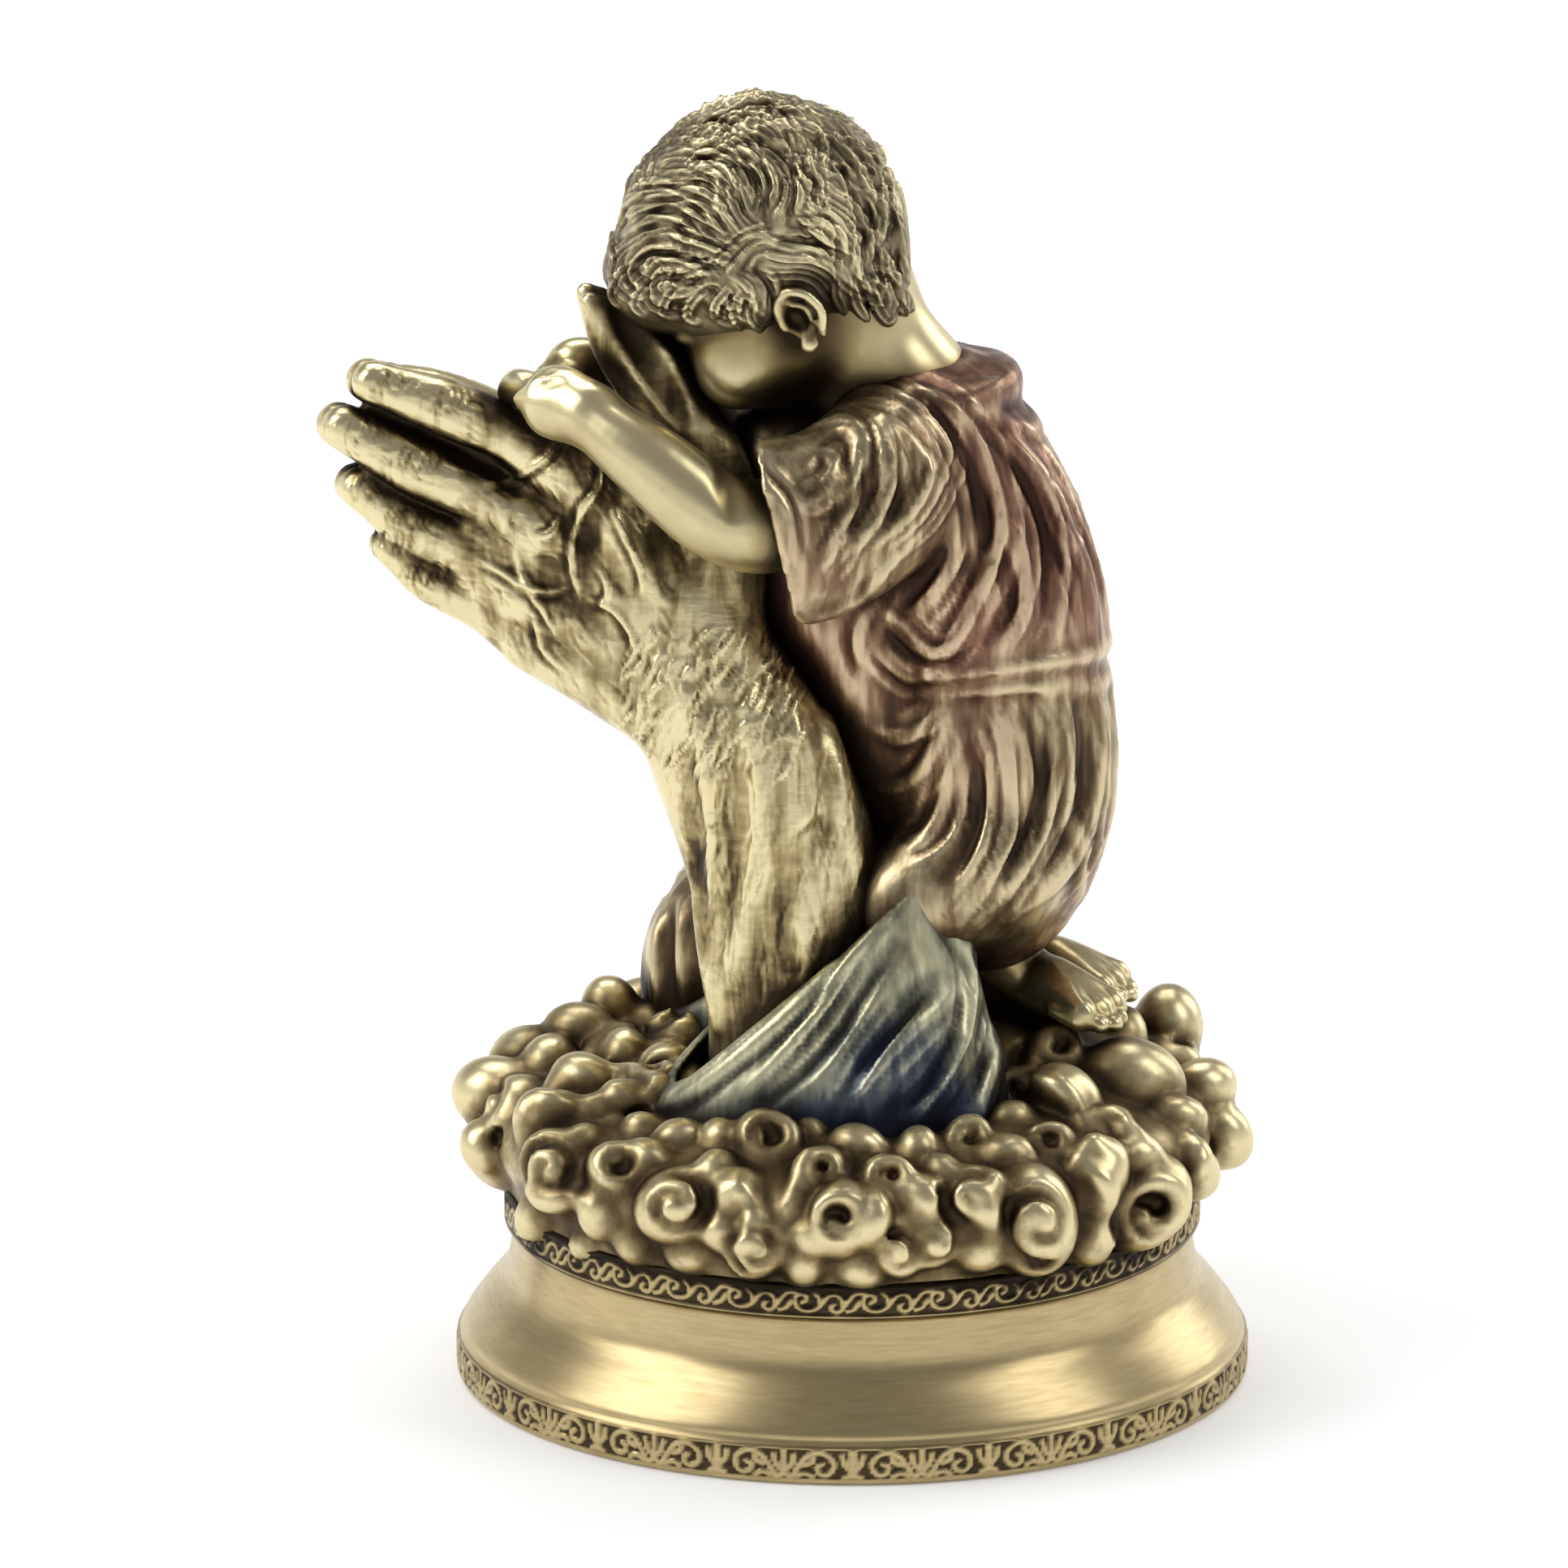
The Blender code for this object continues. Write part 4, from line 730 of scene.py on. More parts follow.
SLEEVE_FOLDS = (
    ((1022, 498), (1062, 483), (1112, 494), (1150, 527), (1166, 562), (1156, 600), (1134, 640), (1098, 674)),
    ((1082, 518), (1096, 560), (1094, 610), (1072, 655), (1035, 692)),
    ((931, 556), (935, 590), (965, 628), (974, 672), (986, 716)),
    ((990, 626), (1012, 618), (1034, 590)),
    ((1050, 590), (1046, 640), (1030, 680), (1010, 706)),
    ((1140, 560), (1142, 600), (1118, 640), (1080, 672)),
    ((1000, 530), (1040, 520), (1066, 545), (1060, 585), (1030, 620)),
    ((1020, 560), (1034, 575), (1020, 600), (995, 612)),
)
CUFF_EDGE = ((984, 722), (988, 762), (1020, 760), (1056, 742), (1090, 706), (1128, 664))
ROBE_FOLDS = (
    ((1112, 480), (1162, 498), (1202, 545), (1224, 600), (1234, 655), (1220, 705), (1194, 762), (1168, 804),
     (1142, 832)),
    ((1142, 832), (1118, 836), (1092, 814), (1068, 784)),
    ((1196, 500), (1246, 545), (1286, 602), (1304, 662), (1306, 730), (1296, 794)),
    ((1250, 655), (1265, 708), (1262, 760), (1236, 804)),
    ((1086, 748), (1120, 780), (1146, 800), (1172, 794), (1196, 768)),
    ((1262, 575), (1300, 640), (1332, 715), (1344, 790)),
    ((1180, 640), (1176, 690), (1150, 735), (1120, 765)),
    ((1092, 700), (1080, 740), (1060, 790), (1072, 830)),
    ((1220, 866), (1238, 900), (1247, 950), (1249, 1000), (1238, 1052), (1210, 1100), (1176, 1142)),
    ((1290, 856), (1306, 892), (1305, 945), (1290, 1005), (1262, 1062), (1228, 1112), (1190, 1152)),
    ((1340, 846), (1354, 900), (1350, 980), (1332, 1040), (1298, 1088), (1244, 1132)),
    ((1172, 872), (1158, 912), (1140, 950), (1112, 972), (1074, 970)),
    ((1172, 925), (1166, 985), (1142, 1030), (1108, 1044)),
    ((1204, 900), (1224, 960), (1224, 1012), (1204, 1064), (1174, 1120)),
    ((1080, 900), (1110, 905), (1140, 890), (1160, 870)),
    ((812, 1130), (806, 1180), (812, 1250)),
    ((842, 1110), (838, 1180), (846, 1250)),
)
ROBE_GROOVES = (
    ((1150, 505), (1186, 560), (1204, 620), (1206, 680), (1184, 730)),
    ((1245, 570), (1276, 625), (1290, 690), (1286, 760)),
    ((1234, 690), (1238, 740), (1214, 790)),
    ((1258, 880), (1276, 940), (1270, 1010), (1240, 1080)),
    ((1322, 870), (1332, 940), (1320, 1010), (1284, 1070)),
    ((1192, 890), (1198, 960), (1190, 1030), (1160, 1080)),
    ((1116, 540), (1122, 590), (1098, 640)),
    ((1066, 560), (1066, 620), (1048, 660)),
    ((826, 1120), (822, 1180), (830, 1250)),
)
BELT = (
    ((1140, 838), (1200, 830), (1270, 820), (1362, 806)),
    ((1140, 860), (1200, 853), (1270, 846), (1364, 828)),
)
DRAPE_FOLDS = (
    ((806, 1368), (862, 1330), (950, 1256), (1022, 1188), (1080, 1118), (1104, 1088)),
    ((1176, 1214), (1134, 1258), (1088, 1308), (1050, 1350)),
    ((1184, 1150), (1196, 1210), (1190, 1272), (1164, 1322), (1122, 1384)),
    ((1092, 1136), (1052, 1184), (1016, 1240), (972, 1292), (920, 1340)),
    ((1140, 1090), (1178, 1140), (1212, 1200), (1240, 1262), (1254, 1330)),
    ((1220, 1226), (1228, 1290), (1214, 1350), (1190, 1390)),
)
DRAPE_GROOVES = (
    ((1104, 1160), (1068, 1206), (1034, 1262), (992, 1312), (944, 1356)),
    ((1142, 1200), (1102, 1250), (1060, 1304), (1024, 1372)),
    ((1176, 1280), (1134, 1330), (1082, 1382)),
    ((1214, 1240), (1206, 1300), (1176, 1360)),
)
LOCKS = (
    ((1000, 150), (950, 140), (900, 150), (850, 160), (812, 172)),
    ((1008, 202), (962, 170), (900, 186), (842, 200), (796, 214)),
    ((960, 290), (956, 240), (930, 205), (880, 200), (826, 214)),
    ((930, 276), (910, 236), (870, 220), (820, 232), (776, 250)),
    ((948, 304), (910, 282), (868, 250), (820, 254), (768, 272)),
    ((900, 300), (860, 272), (812, 282), (766, 296)),
    ((904, 334), (862, 304), (820, 302), (786, 324), (776, 346)),
    ((884, 352), (842, 332), (806, 340), (788, 362)),
    ((870, 372), (830, 362), (796, 372)),
    ((998, 210), (986, 250), (1008, 290), (1040, 312)),
    ((1040, 196), (1062, 240), (1082, 274), (1070, 312)),
    ((1012, 270), (1040, 302), (1050, 340), (1040, 372)),
    ((950, 322), (990, 322), (1030, 342), (1056, 372)),
    ((1074, 170), (1090, 230), (1104, 290), (1116, 352)),
    ((1056, 350), (1088, 366), (1097, 398)),
    ((1086, 320), (1100, 360), (1122, 384)),
    ((900, 342), (928, 368), (944, 402)),
    ((940, 110), (890, 120), (850, 136), (818, 156)),
    ((1020, 130), (1060, 170), (1080, 220)),
)
FRINGE = (
    ((802, 246), (774, 264), (758, 298), (763, 334)),
    ((822, 292), (792, 302), (766, 320), (756, 350)),
    ((790, 236), (764, 256), (752, 286)),
    ((800, 322), (772, 340), (757, 366), (764, 384)),
    ((830, 338), (800, 356), (784, 380), (796, 396)),
    ((852, 350), (828, 368), (818, 388), (836, 398)),
    ((876, 358), (856, 376), (848, 394), (860, 404)),
    ((900, 362), (884, 380), (880, 396)),
    ((916, 366), (906, 388), (912, 408)),
    ((932, 372), (926, 396), (938, 414)),
    ((1030, 346), (1030, 370), (1040, 392)),
    ((1050, 352), (1054, 378), (1068, 400)),
    ((1072, 352), (1080, 380), (1094, 400), (1098, 386)),
    ((1096, 350), (1104, 374), (1116, 392)),
)
BACK_FOLDS = (
    ((-11, 121), (-6, 116.5), (0, 115), (6, 116.5), (11, 121)),
    ((-10, 116), (-8, 106), (-6.5, 95), (-6, 85)),
    ((-2, 112), (-1, 103), (-2.5, 94), (-1.5, 85)),
    ((9, 117), (6, 107), (5.5, 96), (3.5, 86)),
    ((14, 112), (12, 103), (11, 94), (9, 86)),
    ((-16, 84), (-8, 83), (0, 82.5), (8, 83), (16, 84)),
    ((-16, 79.5), (-8, 78), (0, 77.6), (8, 78), (16, 79.5)),
    ((-13, 77), (-14.5, 66), (-11, 54), (-6, 45)),
    ((-7, 76), (-8.5, 64), (-6, 53), (-3, 44)),
    ((-1, 76), (-1.5, 64), (0, 53), (0, 43)),
    ((5, 76), (7.5, 65), (6, 54), (2.5, 44)),
    ((11, 77), (14, 66), (11.5, 54), (6, 45)),
)
CROWN_LOCKS = (
    ((180, 78), (172, 50), (184, 22), (176, -6)), ((160, 72), (150, 46), (160, 18), (152, -10)),
    ((200, 72), (210, 46), (200, 18), (208, -10)), ((166, 40), (172, 16), (164, -12), (170, -26)),
    ((194, 40), (188, 16), (196, -12), (190, -26)), ((140, 66), (130, 44), (138, 20), (128, 0)),
    ((220, 66), (230, 44), (222, 20), (232, 0)), ((20, 76), (12, 54), (22, 34), (14, 14)),
    ((-20, 76), (-14, 54), (-24, 34), (-16, 14)), ((0, 74), (4, 50), (-4, 28), (2, 10)),
    ((60, 80), (40, 60), (48, 46)), ((-60, 80), (-40, 60), (-48, 46)),
)
STRANDS = (
    ((1010, 128), (960, 112), (905, 112), (860, 122), (825, 142)),
    ((1030, 140), (980, 130), (920, 132), (865, 142), (812, 160)),
    ((960, 150), (920, 145), (880, 148), (840, 160), (805, 178)),
    ((960, 165), (930, 155), (890, 160), (850, 168), (815, 185), (795, 205)),
    ((975, 185), (950, 165), (910, 165), (870, 175), (830, 185), (800, 200)),
    ((955, 285), (958, 250), (945, 215), (920, 190), (885, 182), (850, 188), (820, 205)),
    ((935, 275), (935, 240), (920, 212), (895, 198), (860, 200), (835, 212)),
    ((915, 265), (905, 235), (885, 218), (860, 212), (835, 218)),
    ((890, 250), (880, 230), (860, 222), (835, 222), (800, 236)),
    ((925, 300), (905, 280), (880, 255), (850, 242), (815, 240), (785, 250), (765, 268)),
    ((900, 305), (880, 285), (850, 262), (820, 258), (790, 268), (770, 282)),
    ((880, 310), (855, 290), (825, 275), (795, 278), (770, 288)),
    ((905, 335), (885, 315), (860, 300), (830, 292), (800, 298), (775, 305)),
    ((890, 345), (865, 325), (835, 308), (805, 308), (785, 322)),
    ((850, 330), (825, 318), (805, 322), (795, 340), (810, 352)),
    ((800, 300), (785, 320), (780, 340), (795, 355), (825, 362)),
    ((860, 350), (840, 352), (815, 358), (840, 370), (865, 372)),
    ((900, 352), (880, 345), (850, 345), (820, 350)),
    ((950, 310), (925, 310), (905, 325), (895, 345)),
    ((985, 165), (1000, 190), (1003, 215), (1010, 235), (1030, 245)),
    ((965, 180), (980, 200), (985, 225), (990, 240), (980, 262)),
    ((950, 200), (962, 230), (965, 260), (955, 285)),
    ((1000, 150), (1030, 175), (1045, 205), (1065, 225), (1080, 240)),
    ((1030, 170), (1045, 200), (1055, 225), (1075, 245)),
    ((1050, 230), (1070, 250), (1080, 275), (1068, 300)),
    ((1060, 200), (1085, 230), (1095, 260), (1098, 300)),
    ((1075, 170), (1095, 210), (1105, 260), (1108, 310)),
    ((985, 255), (1000, 280), (1025, 295), (1045, 310), (1050, 335)),
    ((1000, 240), (1030, 262), (1045, 290), (1052, 320), (1060, 345), (1085, 352)),
    ((960, 290), (985, 300), (1010, 305), (1030, 315)),
    ((930, 320), (960, 322), (990, 330), (1020, 345), (1045, 365)),
    ((1055, 300), (1068, 330), (1080, 350), (1100, 352)),
    ((1060, 350), (1085, 362), (1097, 380), (1092, 398)),
    ((1105, 300), (1112, 330), (1120, 355), (1124, 380)),
    ((1090, 320), (1100, 345), (1108, 370)),
    ((900, 350), (915, 365), (925, 385), (945, 402)),
    ((925, 345), (935, 362), (942, 385), (950, 400)),
    ((890, 372), (905, 388), (925, 400)),
    ((775, 235), (790, 225), (800, 215)),
    ((790, 190), (780, 215), (770, 240)),
)


def both_sides(clay, lines, kind, onto=None):
    for view in ("near", "far"):
        for line in lines:
            stroke(clay, view, line, *kind, onto)


def drape(step):
    clay = Clay((-36, -42, BASE_HEIGHT), (32, 42, BASE_HEIGHT + 62), step)
    for side in SIDES:
        sleeve(clay, side)
    both_sides(clay, DRAPE_FOLDS, DRAPE_FOLD)
    both_sides(clay, DRAPE_GROOVES, DRAPE_GROOVE)
    return clay


def robe(step):
    clay = Clay((-36, -38, BASE_HEIGHT), (48, 38, BASE_HEIGHT + 132), step)
    torso(clay)
    both_sides(clay, ROBE_FOLDS, ROBE_FOLD)
    both_sides(clay, SLEEVE_FOLDS + (CUFF_EDGE,), SLEEVE_FOLD)
    both_sides(clay, ROBE_GROOVES, ROBE_GROOVE)
    both_sides(clay, BELT, BELT_EDGE)
    for line in BACK_FOLDS:
        stroke(clay, "back", line, *ROBE_FOLD)
    return clay


ELBOW = ((882, 560), (894, 596), (902, 640))
FINGER_CLEFTS = (
    ((650, 452), (668, 446), (690, 446)),
    ((648, 468), (666, 462), (690, 460)),
    ((654, 486), (674, 478), (696, 474)),
)


def limbs(step):
    clay = Clay((-54, -34, BASE_HEIGHT + 98), (8, 34, BASE_HEIGHT + 132), step)
    for side in SIDES:
        arm(clay, side)
    both_sides(clay, (ELBOW,), ELBOW_CREASE)
    both_sides(clay, FINGER_CLEFTS, FINGER_CLEFT)
    return clay


def feet(step):
    clay = Clay((8, -18, BASE_HEIGHT + 16), (50, 26, BASE_HEIGHT + 46), step)
    for heel, toes in FEET:
        foot(clay, heel, toes)
    return clay


HEAD_LOW, HEAD_HIGH = (-42, -26, BASE_HEIGHT + 108), (20, 26, BASE_HEIGHT + 174)


def bare_head(step):
    clay = Clay(HEAD_LOW, HEAD_HIGH, step)
    face(clay)
    return clay


def hair(step):
    """The cap of hair, cut back from the face, with its locks laid over the whole head."""
    head = bare_head(step)
    skull(head)
    clay = Clay(HEAD_LOW, HEAD_HIGH, step)
    skull(clay)
    head_ball(clay, (0.95, 0, -1.06), (0.72, 0.95, 0.8), 0.8, True)
    for side in SIDES:
        head_ball(clay, (0.42, side * 0.85, -1.0), (0.46, 0.5, 0.5), 0.8, True)
    head_ball(clay, (-0.1, 0, -1.6), (0.9, 1.0, 0.6), 0.8, True)
    both_sides(clay, LOCKS, LOCK, head)
    both_sides(clay, FRINGE, FRINGE_LOCK, head)
    for line in CROWN_LOCKS:
        stroke(clay, "skull", line, *CROWN_LOCK, head)
    return clay


def whole_figure(step):
    """All the forms on one coarse grid, to tell how closed in a place is, which sets the shade painted into the
    finishes.
    """
    low, high = (-84, -64, BASE_HEIGHT - 6), (64, 64, BASE_HEIGHT + 174)
    whole = Clay(low, high, step)
    for form in (cloud, torso, face, skull, lambda c: [foot(c, *spots) for spots in FEET],
                 lambda c: [sleeve(c, s) for s in SIDES], lambda c: [arm(c, s) for s in SIDES],
                 lambda c: [hand_forms(c, s) for s in SIDES]):
        part = Clay(low, high, step)
        form(part)
        whole.field = np.minimum(whole.field, part.field)
    return whole


# Fine lines, drawn over the photograph or scattered along the form

CHANCE = np.random.RandomState(7)
WAVE_LENGTH = 105.0


def shifted(line, push):
    """A drawn line moved sideways by a number of pixels."""
    line = smooth_path(np.array(line, float), 4)
    run = np.gradient(line, axis=0)
    aside = np.stack((-run[:, 1], run[:, 0]), 1) / (np.linalg.norm(run, axis=1, keepdims=True) + 1e-9)
    return line + push * aside


def drawn(clay, view, line, width, height, spans=3):
    """The pieces of a drawn line as fine lines for a surface."""
    side = {"near": -1.0, "far": 1.0}.get(view, 0.0)
    for hits, out in runs(clay, view, line, spans):
        own = hits[:, 1] * side > -0.6
        if own.sum() >= 3:
            way = out[own].mean(0)
            yield hits[own], width, height, way / (np.linalg.norm(way) + 1e-9)


def waved(line, push, reach, phase):
    """A drawn line moved sideways, and swung from side to side by a number of pixels as it runs."""
    line = smooth_path(np.array(line, float), 6)
    run = np.gradient(line, axis=0)
    step = np.linalg.norm(run, axis=1)
    aside = np.stack((-run[:, 1], run[:, 0]), 1) / (step[:, None] + 1e-9)
    swing = reach * np.sin(2 * math.pi * np.cumsum(step) / WAVE_LENGTH + phase)
    return line + (push + swing)[:, None] * aside


STRAND_PUSHES = (-25, -20, -15, -10, -5, 0, 5, 10, 15, 20, 25)
STRAND_HEIGHTS = (-0.3, 0.24, 0.36, -0.22, 0.24, 0.44, -0.22, 0.24, 0.36, -0.28, 0.24)


def strands(clay):
    lines = []
    for view in ("near", "far"):
        for guide in STRANDS:
            phase = CHANCE.uniform(0, 6.28)
            for push, height in zip(STRAND_PUSHES, STRAND_HEIGHTS):
                line = waved(guide, push + CHANCE.uniform(-1, 1), 5.0, phase + 0.02 * push)
                line = line[CHANCE.randint(0, 5):len(line) - CHANCE.randint(0, 5)]
                lines += drawn(clay, view, line[::2], 0.56, height)
        for line in FRINGE:
            for push, height in ((-4, 0.3), (0, -0.3), (4, 0.3)):
                lines += drawn(clay, view, shifted(line, push), 0.45, height)
    for turn in list(range(122, 240, 5)) + [-9, -3, 3, 9]:
        phase = CHANCE.uniform(0, 6.28)
        for start in range(72, -30 if turn > 100 else 36, -26):
            wave = 5.0 / max(0.4, math.cos(math.radians(start)))
            spots = [(turn + wave * math.sin(0.16 * (start - fall) + phase), start + 4 - fall)
                     for fall in range(0, 40, 8)]
            lines += drawn(clay, "skull", spots, 0.6, CHANCE.choice((0.3, -0.22, 0.24)))
    return lines


KNUCKLES = ((487, 480), (551, 503), (441, 539), (515, 576), (456, 608), (508, 645), (481, 675), (524, 715))
HAND_VEINS = (
    ((740, 562), (741, 600), (716, 637), (706, 693), (718, 743)),
    ((756, 628), (768, 655), (790, 706), (793, 735)),
    ((636, 684), (653, 722), (676, 730), (700, 726)),
    ((722, 737), (759, 755), (784, 793), (777, 820)),
    ((600, 600), (640, 590), (676, 566), (694, 540)),
    ((694, 640), (680, 660), (664, 664)),
    ((740, 700), (752, 728), (742, 752)),
    ((590, 690), (630, 712), (664, 742), (690, 790)),
    ((660, 760), (672, 800), (700, 830)),
)
HAND_HOLLOWS = (
    ((752, 570), (754, 606), (732, 650), (722, 700), (734, 742)),
    ((668, 692), (690, 700), (700, 690)),
    ((726, 600), (722, 560), (708, 540)),
    ((805, 660), (812, 700), (830, 735)),
    ((560, 566), (600, 578), (640, 610)),
)
THUMB_FACET = ((764, 392), (790, 430), (818, 474), (842, 520))
FOREARM_HOLLOWS = (
    ((972, 1190), (962, 1120), (982, 1056), (1012, 1020)),
    ((846, 930), (856, 1020), (862, 1120)),
    ((905, 930), (908, 1010), (898, 1090), (880, 1180)),
)
TENDONS = (
    ((872, 960), (880, 1060), (898, 1180)),
    ((926, 880), (938, 980), (928, 1080), (902, 1210)),
    ((1004, 830), (1024, 900), (1038, 980), (1058, 1060)),
    ((846, 860), (870, 930), (872, 1010)),
    ((968, 850), (990, 940), (984, 1020), (968, 1080)),
    ((860, 1100), (872, 1180), (884, 1260)),
)

SCRATCHES = (
    (170, (440, 470), (260, 330), -27, 34, 0.45, -0.14),
    (110, (600, 600), (260, 260), -60, 30, 0.5, -0.18),
    (170, (770, 780), (220, 170), 62, 38, 0.5, 0.34),
    (170, (820, 920), (260, 320), 84, 60, 0.5, -0.16),
)


def scratches(clay, count, corner, size, lean, length, width, height):
    """Short chiselled lines scattered over a window of the photograph, all lying about the same way."""
    lines = []
    for view in ("near", "far"):
        for _ in range(count):
            spot = np.array(corner, float) + CHANCE.uniform(0, 1, 2) * np.array(size, float)
            angle = math.radians(lean + CHANCE.uniform(-14, 14))
            way = np.array((math.cos(angle), -math.sin(angle))) * length * CHANCE.uniform(0.6, 1.3)
            bend = np.array((way[1], -way[0])) * CHANCE.uniform(-0.15, 0.15)
            line = (spot - way / 2, spot + bend, spot + way / 2)
            lines += drawn(clay, view, line, width, height * CHANCE.choice((1.0, 0.7, -0.8)))
    return lines


def hand_lines(clay):
    lines = []
    for view in ("near", "far"):
        for centre in KNUCKLES:
            for push in (-21, -14, -8, 8, 14, 22):
                lean = CHANCE.uniform(-4, 4)
                bow = 0.35 * push
                line = np.array(((push + 6 + lean, -22), (push + bow, -5), (push - 5 - lean, 14))) + centre
                lines += drawn(clay, view, line, 0.55, -0.26 if abs(push) < 16 else -0.16)
            angle = np.linspace(0, 2 * math.pi, 9)
            oval = np.stack((5 * np.cos(angle) + 3 * np.sin(angle), 12 * np.sin(angle) - 4), 1)
            lines += drawn(clay, view, oval + centre, 0.5, -0.24)
        for line in HAND_VEINS:
            lines += drawn(clay, view, line, 0.85, 0.5)
            lines += drawn(clay, view, shifted(line, 9), 0.8, -0.35)
    for patch in SCRATCHES:
        lines += scratches(clay, *patch)
    return lines


def cloth_lines(clay, folds, pushes, width, height):
    """Fine creases that run beside the folds of a cloth."""
    lines = []
    for view in ("near", "far"):
        for fold in folds:
            for count, push in enumerate(pushes):
                line = shifted(fold, push + CHANCE.uniform(-3, 3))
                cut = CHANCE.randint(0, 4)
                lines += drawn(clay, view, line[cut:len(line) - CHANCE.randint(0, 4):2], width,
                               height * (-1.1 if count % 2 else 1.0))
    return lines


def finished_hand(side, step):
    clay = large_hand(side, step)
    view = "near" if side < 0 else "far"
    for line in TENDONS:
        stroke(clay, view, line, *TENDON)
    for line in FOREARM_HOLLOWS:
        stroke(clay, view, line, *FOREARM_HOLLOW)
    for line in HAND_HOLLOWS:
        stroke(clay, view, line, *HAND_HOLLOW)
    stroke(clay, view, THUMB_FACET, *FACET_CUT)
    return clay


# Pieces

def enclosure_for_painted_shade(whole, surface):
    """How closed in each point of a surface is, from 0 in the open to about 1 in a deep corner. The finishes
    paint shade into the colour by it.
    """
    out = surface.normals()
    total = 0.0
    for reach in (2.0, 4.0, 7.0):
        gap = whole.sample(surface.points + out * reach)
        total = total + np.clip((reach - gap) / reach, 0.0, 1.0)
    return surface.spread(total[:, None] / 3.0, 3)[:, 0]


def place(name, surface, finish, whole, extra=()):
    """Makes a piece from a surface, with how worn each point is, and how closed in it is for the painted shade,
    kept on the mesh.
    """
    fine, broad = surface.relief()
    mesh = bpy.data.meshes.new(name)
    mesh.from_pydata((surface.points * MM).tolist(), [], surface.quads.tolist() + list(extra))
    mesh.polygons.foreach_set("use_smooth", [True] * len(mesh.polygons))
    worn = np.clip(0.5 + 1.1 * fine + 0.15 * broad, 0.0, 1.0) if surface.worn is None else surface.worn
    # The second attribute is painted shade: the finishes darken places that are closed in, in corners and
    # between parts, where shade falls.
    for key, values in (("worn", worn), ("painted_shade", enclosure_for_painted_shade(whole, surface))):
        mesh.attributes.new(key, "FLOAT", "POINT").data.foreach_set("value", values.astype(np.float32))
    mesh.materials.append(finish)
    piece = bpy.data.objects.new(name, mesh)
    bpy.context.scene.collection.objects.link(piece)
    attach(piece, BODY)
    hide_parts(NODE)
    return piece


# Turned base

COLUMNS = 768
LOWER_CELLS, TOP_CELLS = 18, 32
BAND_RISE, BAND_GROUND = 0.42, 0.34
SATIN_WEAR = 0.54
COVE = ((-1.0, 0.02), (-1.5, 0.1), (-4.0, 0.3), (-7.2, 0.54))
PALMETTE = (
    ((0, 1.0), (0, 4.6)), ((0.3, 1.6), (1.2, 2.6), (1.5, 3.9)), ((0.3, 1.0), (1.0, 0.5)),
    ((1.2, 0.6), (2.2, 2.2), (3.6, 3.9), (5.4, 4.3), (7.0, 3.4), (7.3, 2.0), (6.4, 1.0), (5.2, 1.2),
     (4.9, 2.1), (5.6, 2.6)),
    ((2.0, 0.8), (3.2, 1.2), (4.2, 0.7)), ((3.2, 2.4), (4.2, 2.9), (4.4, 3.6)),
    ((9.95, 0.8), (9.95, 4.4)), ((9.8, 1.6), (8.9, 2.6), (8.6, 3.9)), ((9.8, 1.0), (9.0, 0.6)),
)
SCROLL = (
    ((2.6, 2.2), (3.1, 2.5), (3.2, 3.1), (2.6, 3.5), (1.8, 3.2), (1.5, 2.3), (2.0, 1.3), (3.2, 0.9),
     (4.6, 1.2), (5.6, 2.2), (6.4, 3.2), (7.6, 3.4), (8.4, 2.6), (8.6, 1.6), (8.0, 0.9), (7.2, 0.9),
     (6.8, 1.5), (7.2, 2.0)),
    ((4.4, 3.6), (5.0, 3.0), (5.2, 2.2)), ((8.4, 1.2), (9.4, 2.6), (10.4, 3.6), (11.8, 3.7)),
    ((9.2, 0.9), (10.2, 1.3), (10.9, 2.4)),
)


def chased(along, up, lines, half):
    """How raised a place on a band is, from 0 on the ground to 1 on the middle of a drawn line."""
    gap = np.full(np.broadcast_shapes(along.shape, up.shape), 9.0)
    for line in lines:
        line = smooth_path(np.array(line, float), 4)
        for a, b in zip(line[:-1], line[1:]):
            run = b - a
            share = np.clip(((along - a[0]) * run[0] + (up - a[1]) * run[1]) / max(run @ run, 1e-9), 0.0, 1.0)
            gap = np.minimum(gap, np.hypot(along - a[0] - share * run[0], up - a[1] - share * run[1]))
    return np.clip(1.0 - (gap / half) ** 2, 0.0, 1.0) ** 0.6


def base_profile():
    """Radius and height of close turns of the base, from the middle of its underside to its top."""
    top = BASE_HEIGHT
    band = top - TOP_BAND_HEIGHT
    foot = FOOT_BAND_HEIGHT
    rise = band - foot
    edge = [(-1.6, 0.0), (-0.9, 0.15), (-0.4, 0.5)] + [(-0.2, z) for z in np.arange(1.0, foot - 0.5, 0.24)]
    edge += [(-0.4, foot - 0.35), (-0.7, foot - 0.1)]
    sweep = [(BASE_RADIUS + inwards, foot + share * rise) for inwards, share in COVE]
    sweep += [(NECK_RADIUS + 0.4, foot + 0.8 * rise), (NECK_RADIUS, band - 0.7)]
    cove = smooth_path(np.array(sweep), 5)
    rim = [(-0.3, band)] + [(0.0, z) for z in np.arange(band + 0.25, top - 0.4, 0.24)]
    rim += [(-0.3, top - 0.25), (-0.8, top), (-4.0, top)]
    return ([(BASE_RADIUS + inwards, z) for inwards, z in edge] + [tuple(spot) for spot in cove]
            + [(NECK_RADIUS + 0.3, band - 0.25)] + [(TOP_BAND_RADIUS + inwards, z) for inwards, z in rim])


def bead(height, middle, half):
    """A plain raised line round a band, from 1 on its middle to 0 at half its width away."""
    return np.clip(1 - np.abs(height - middle) / half, 0, 1)


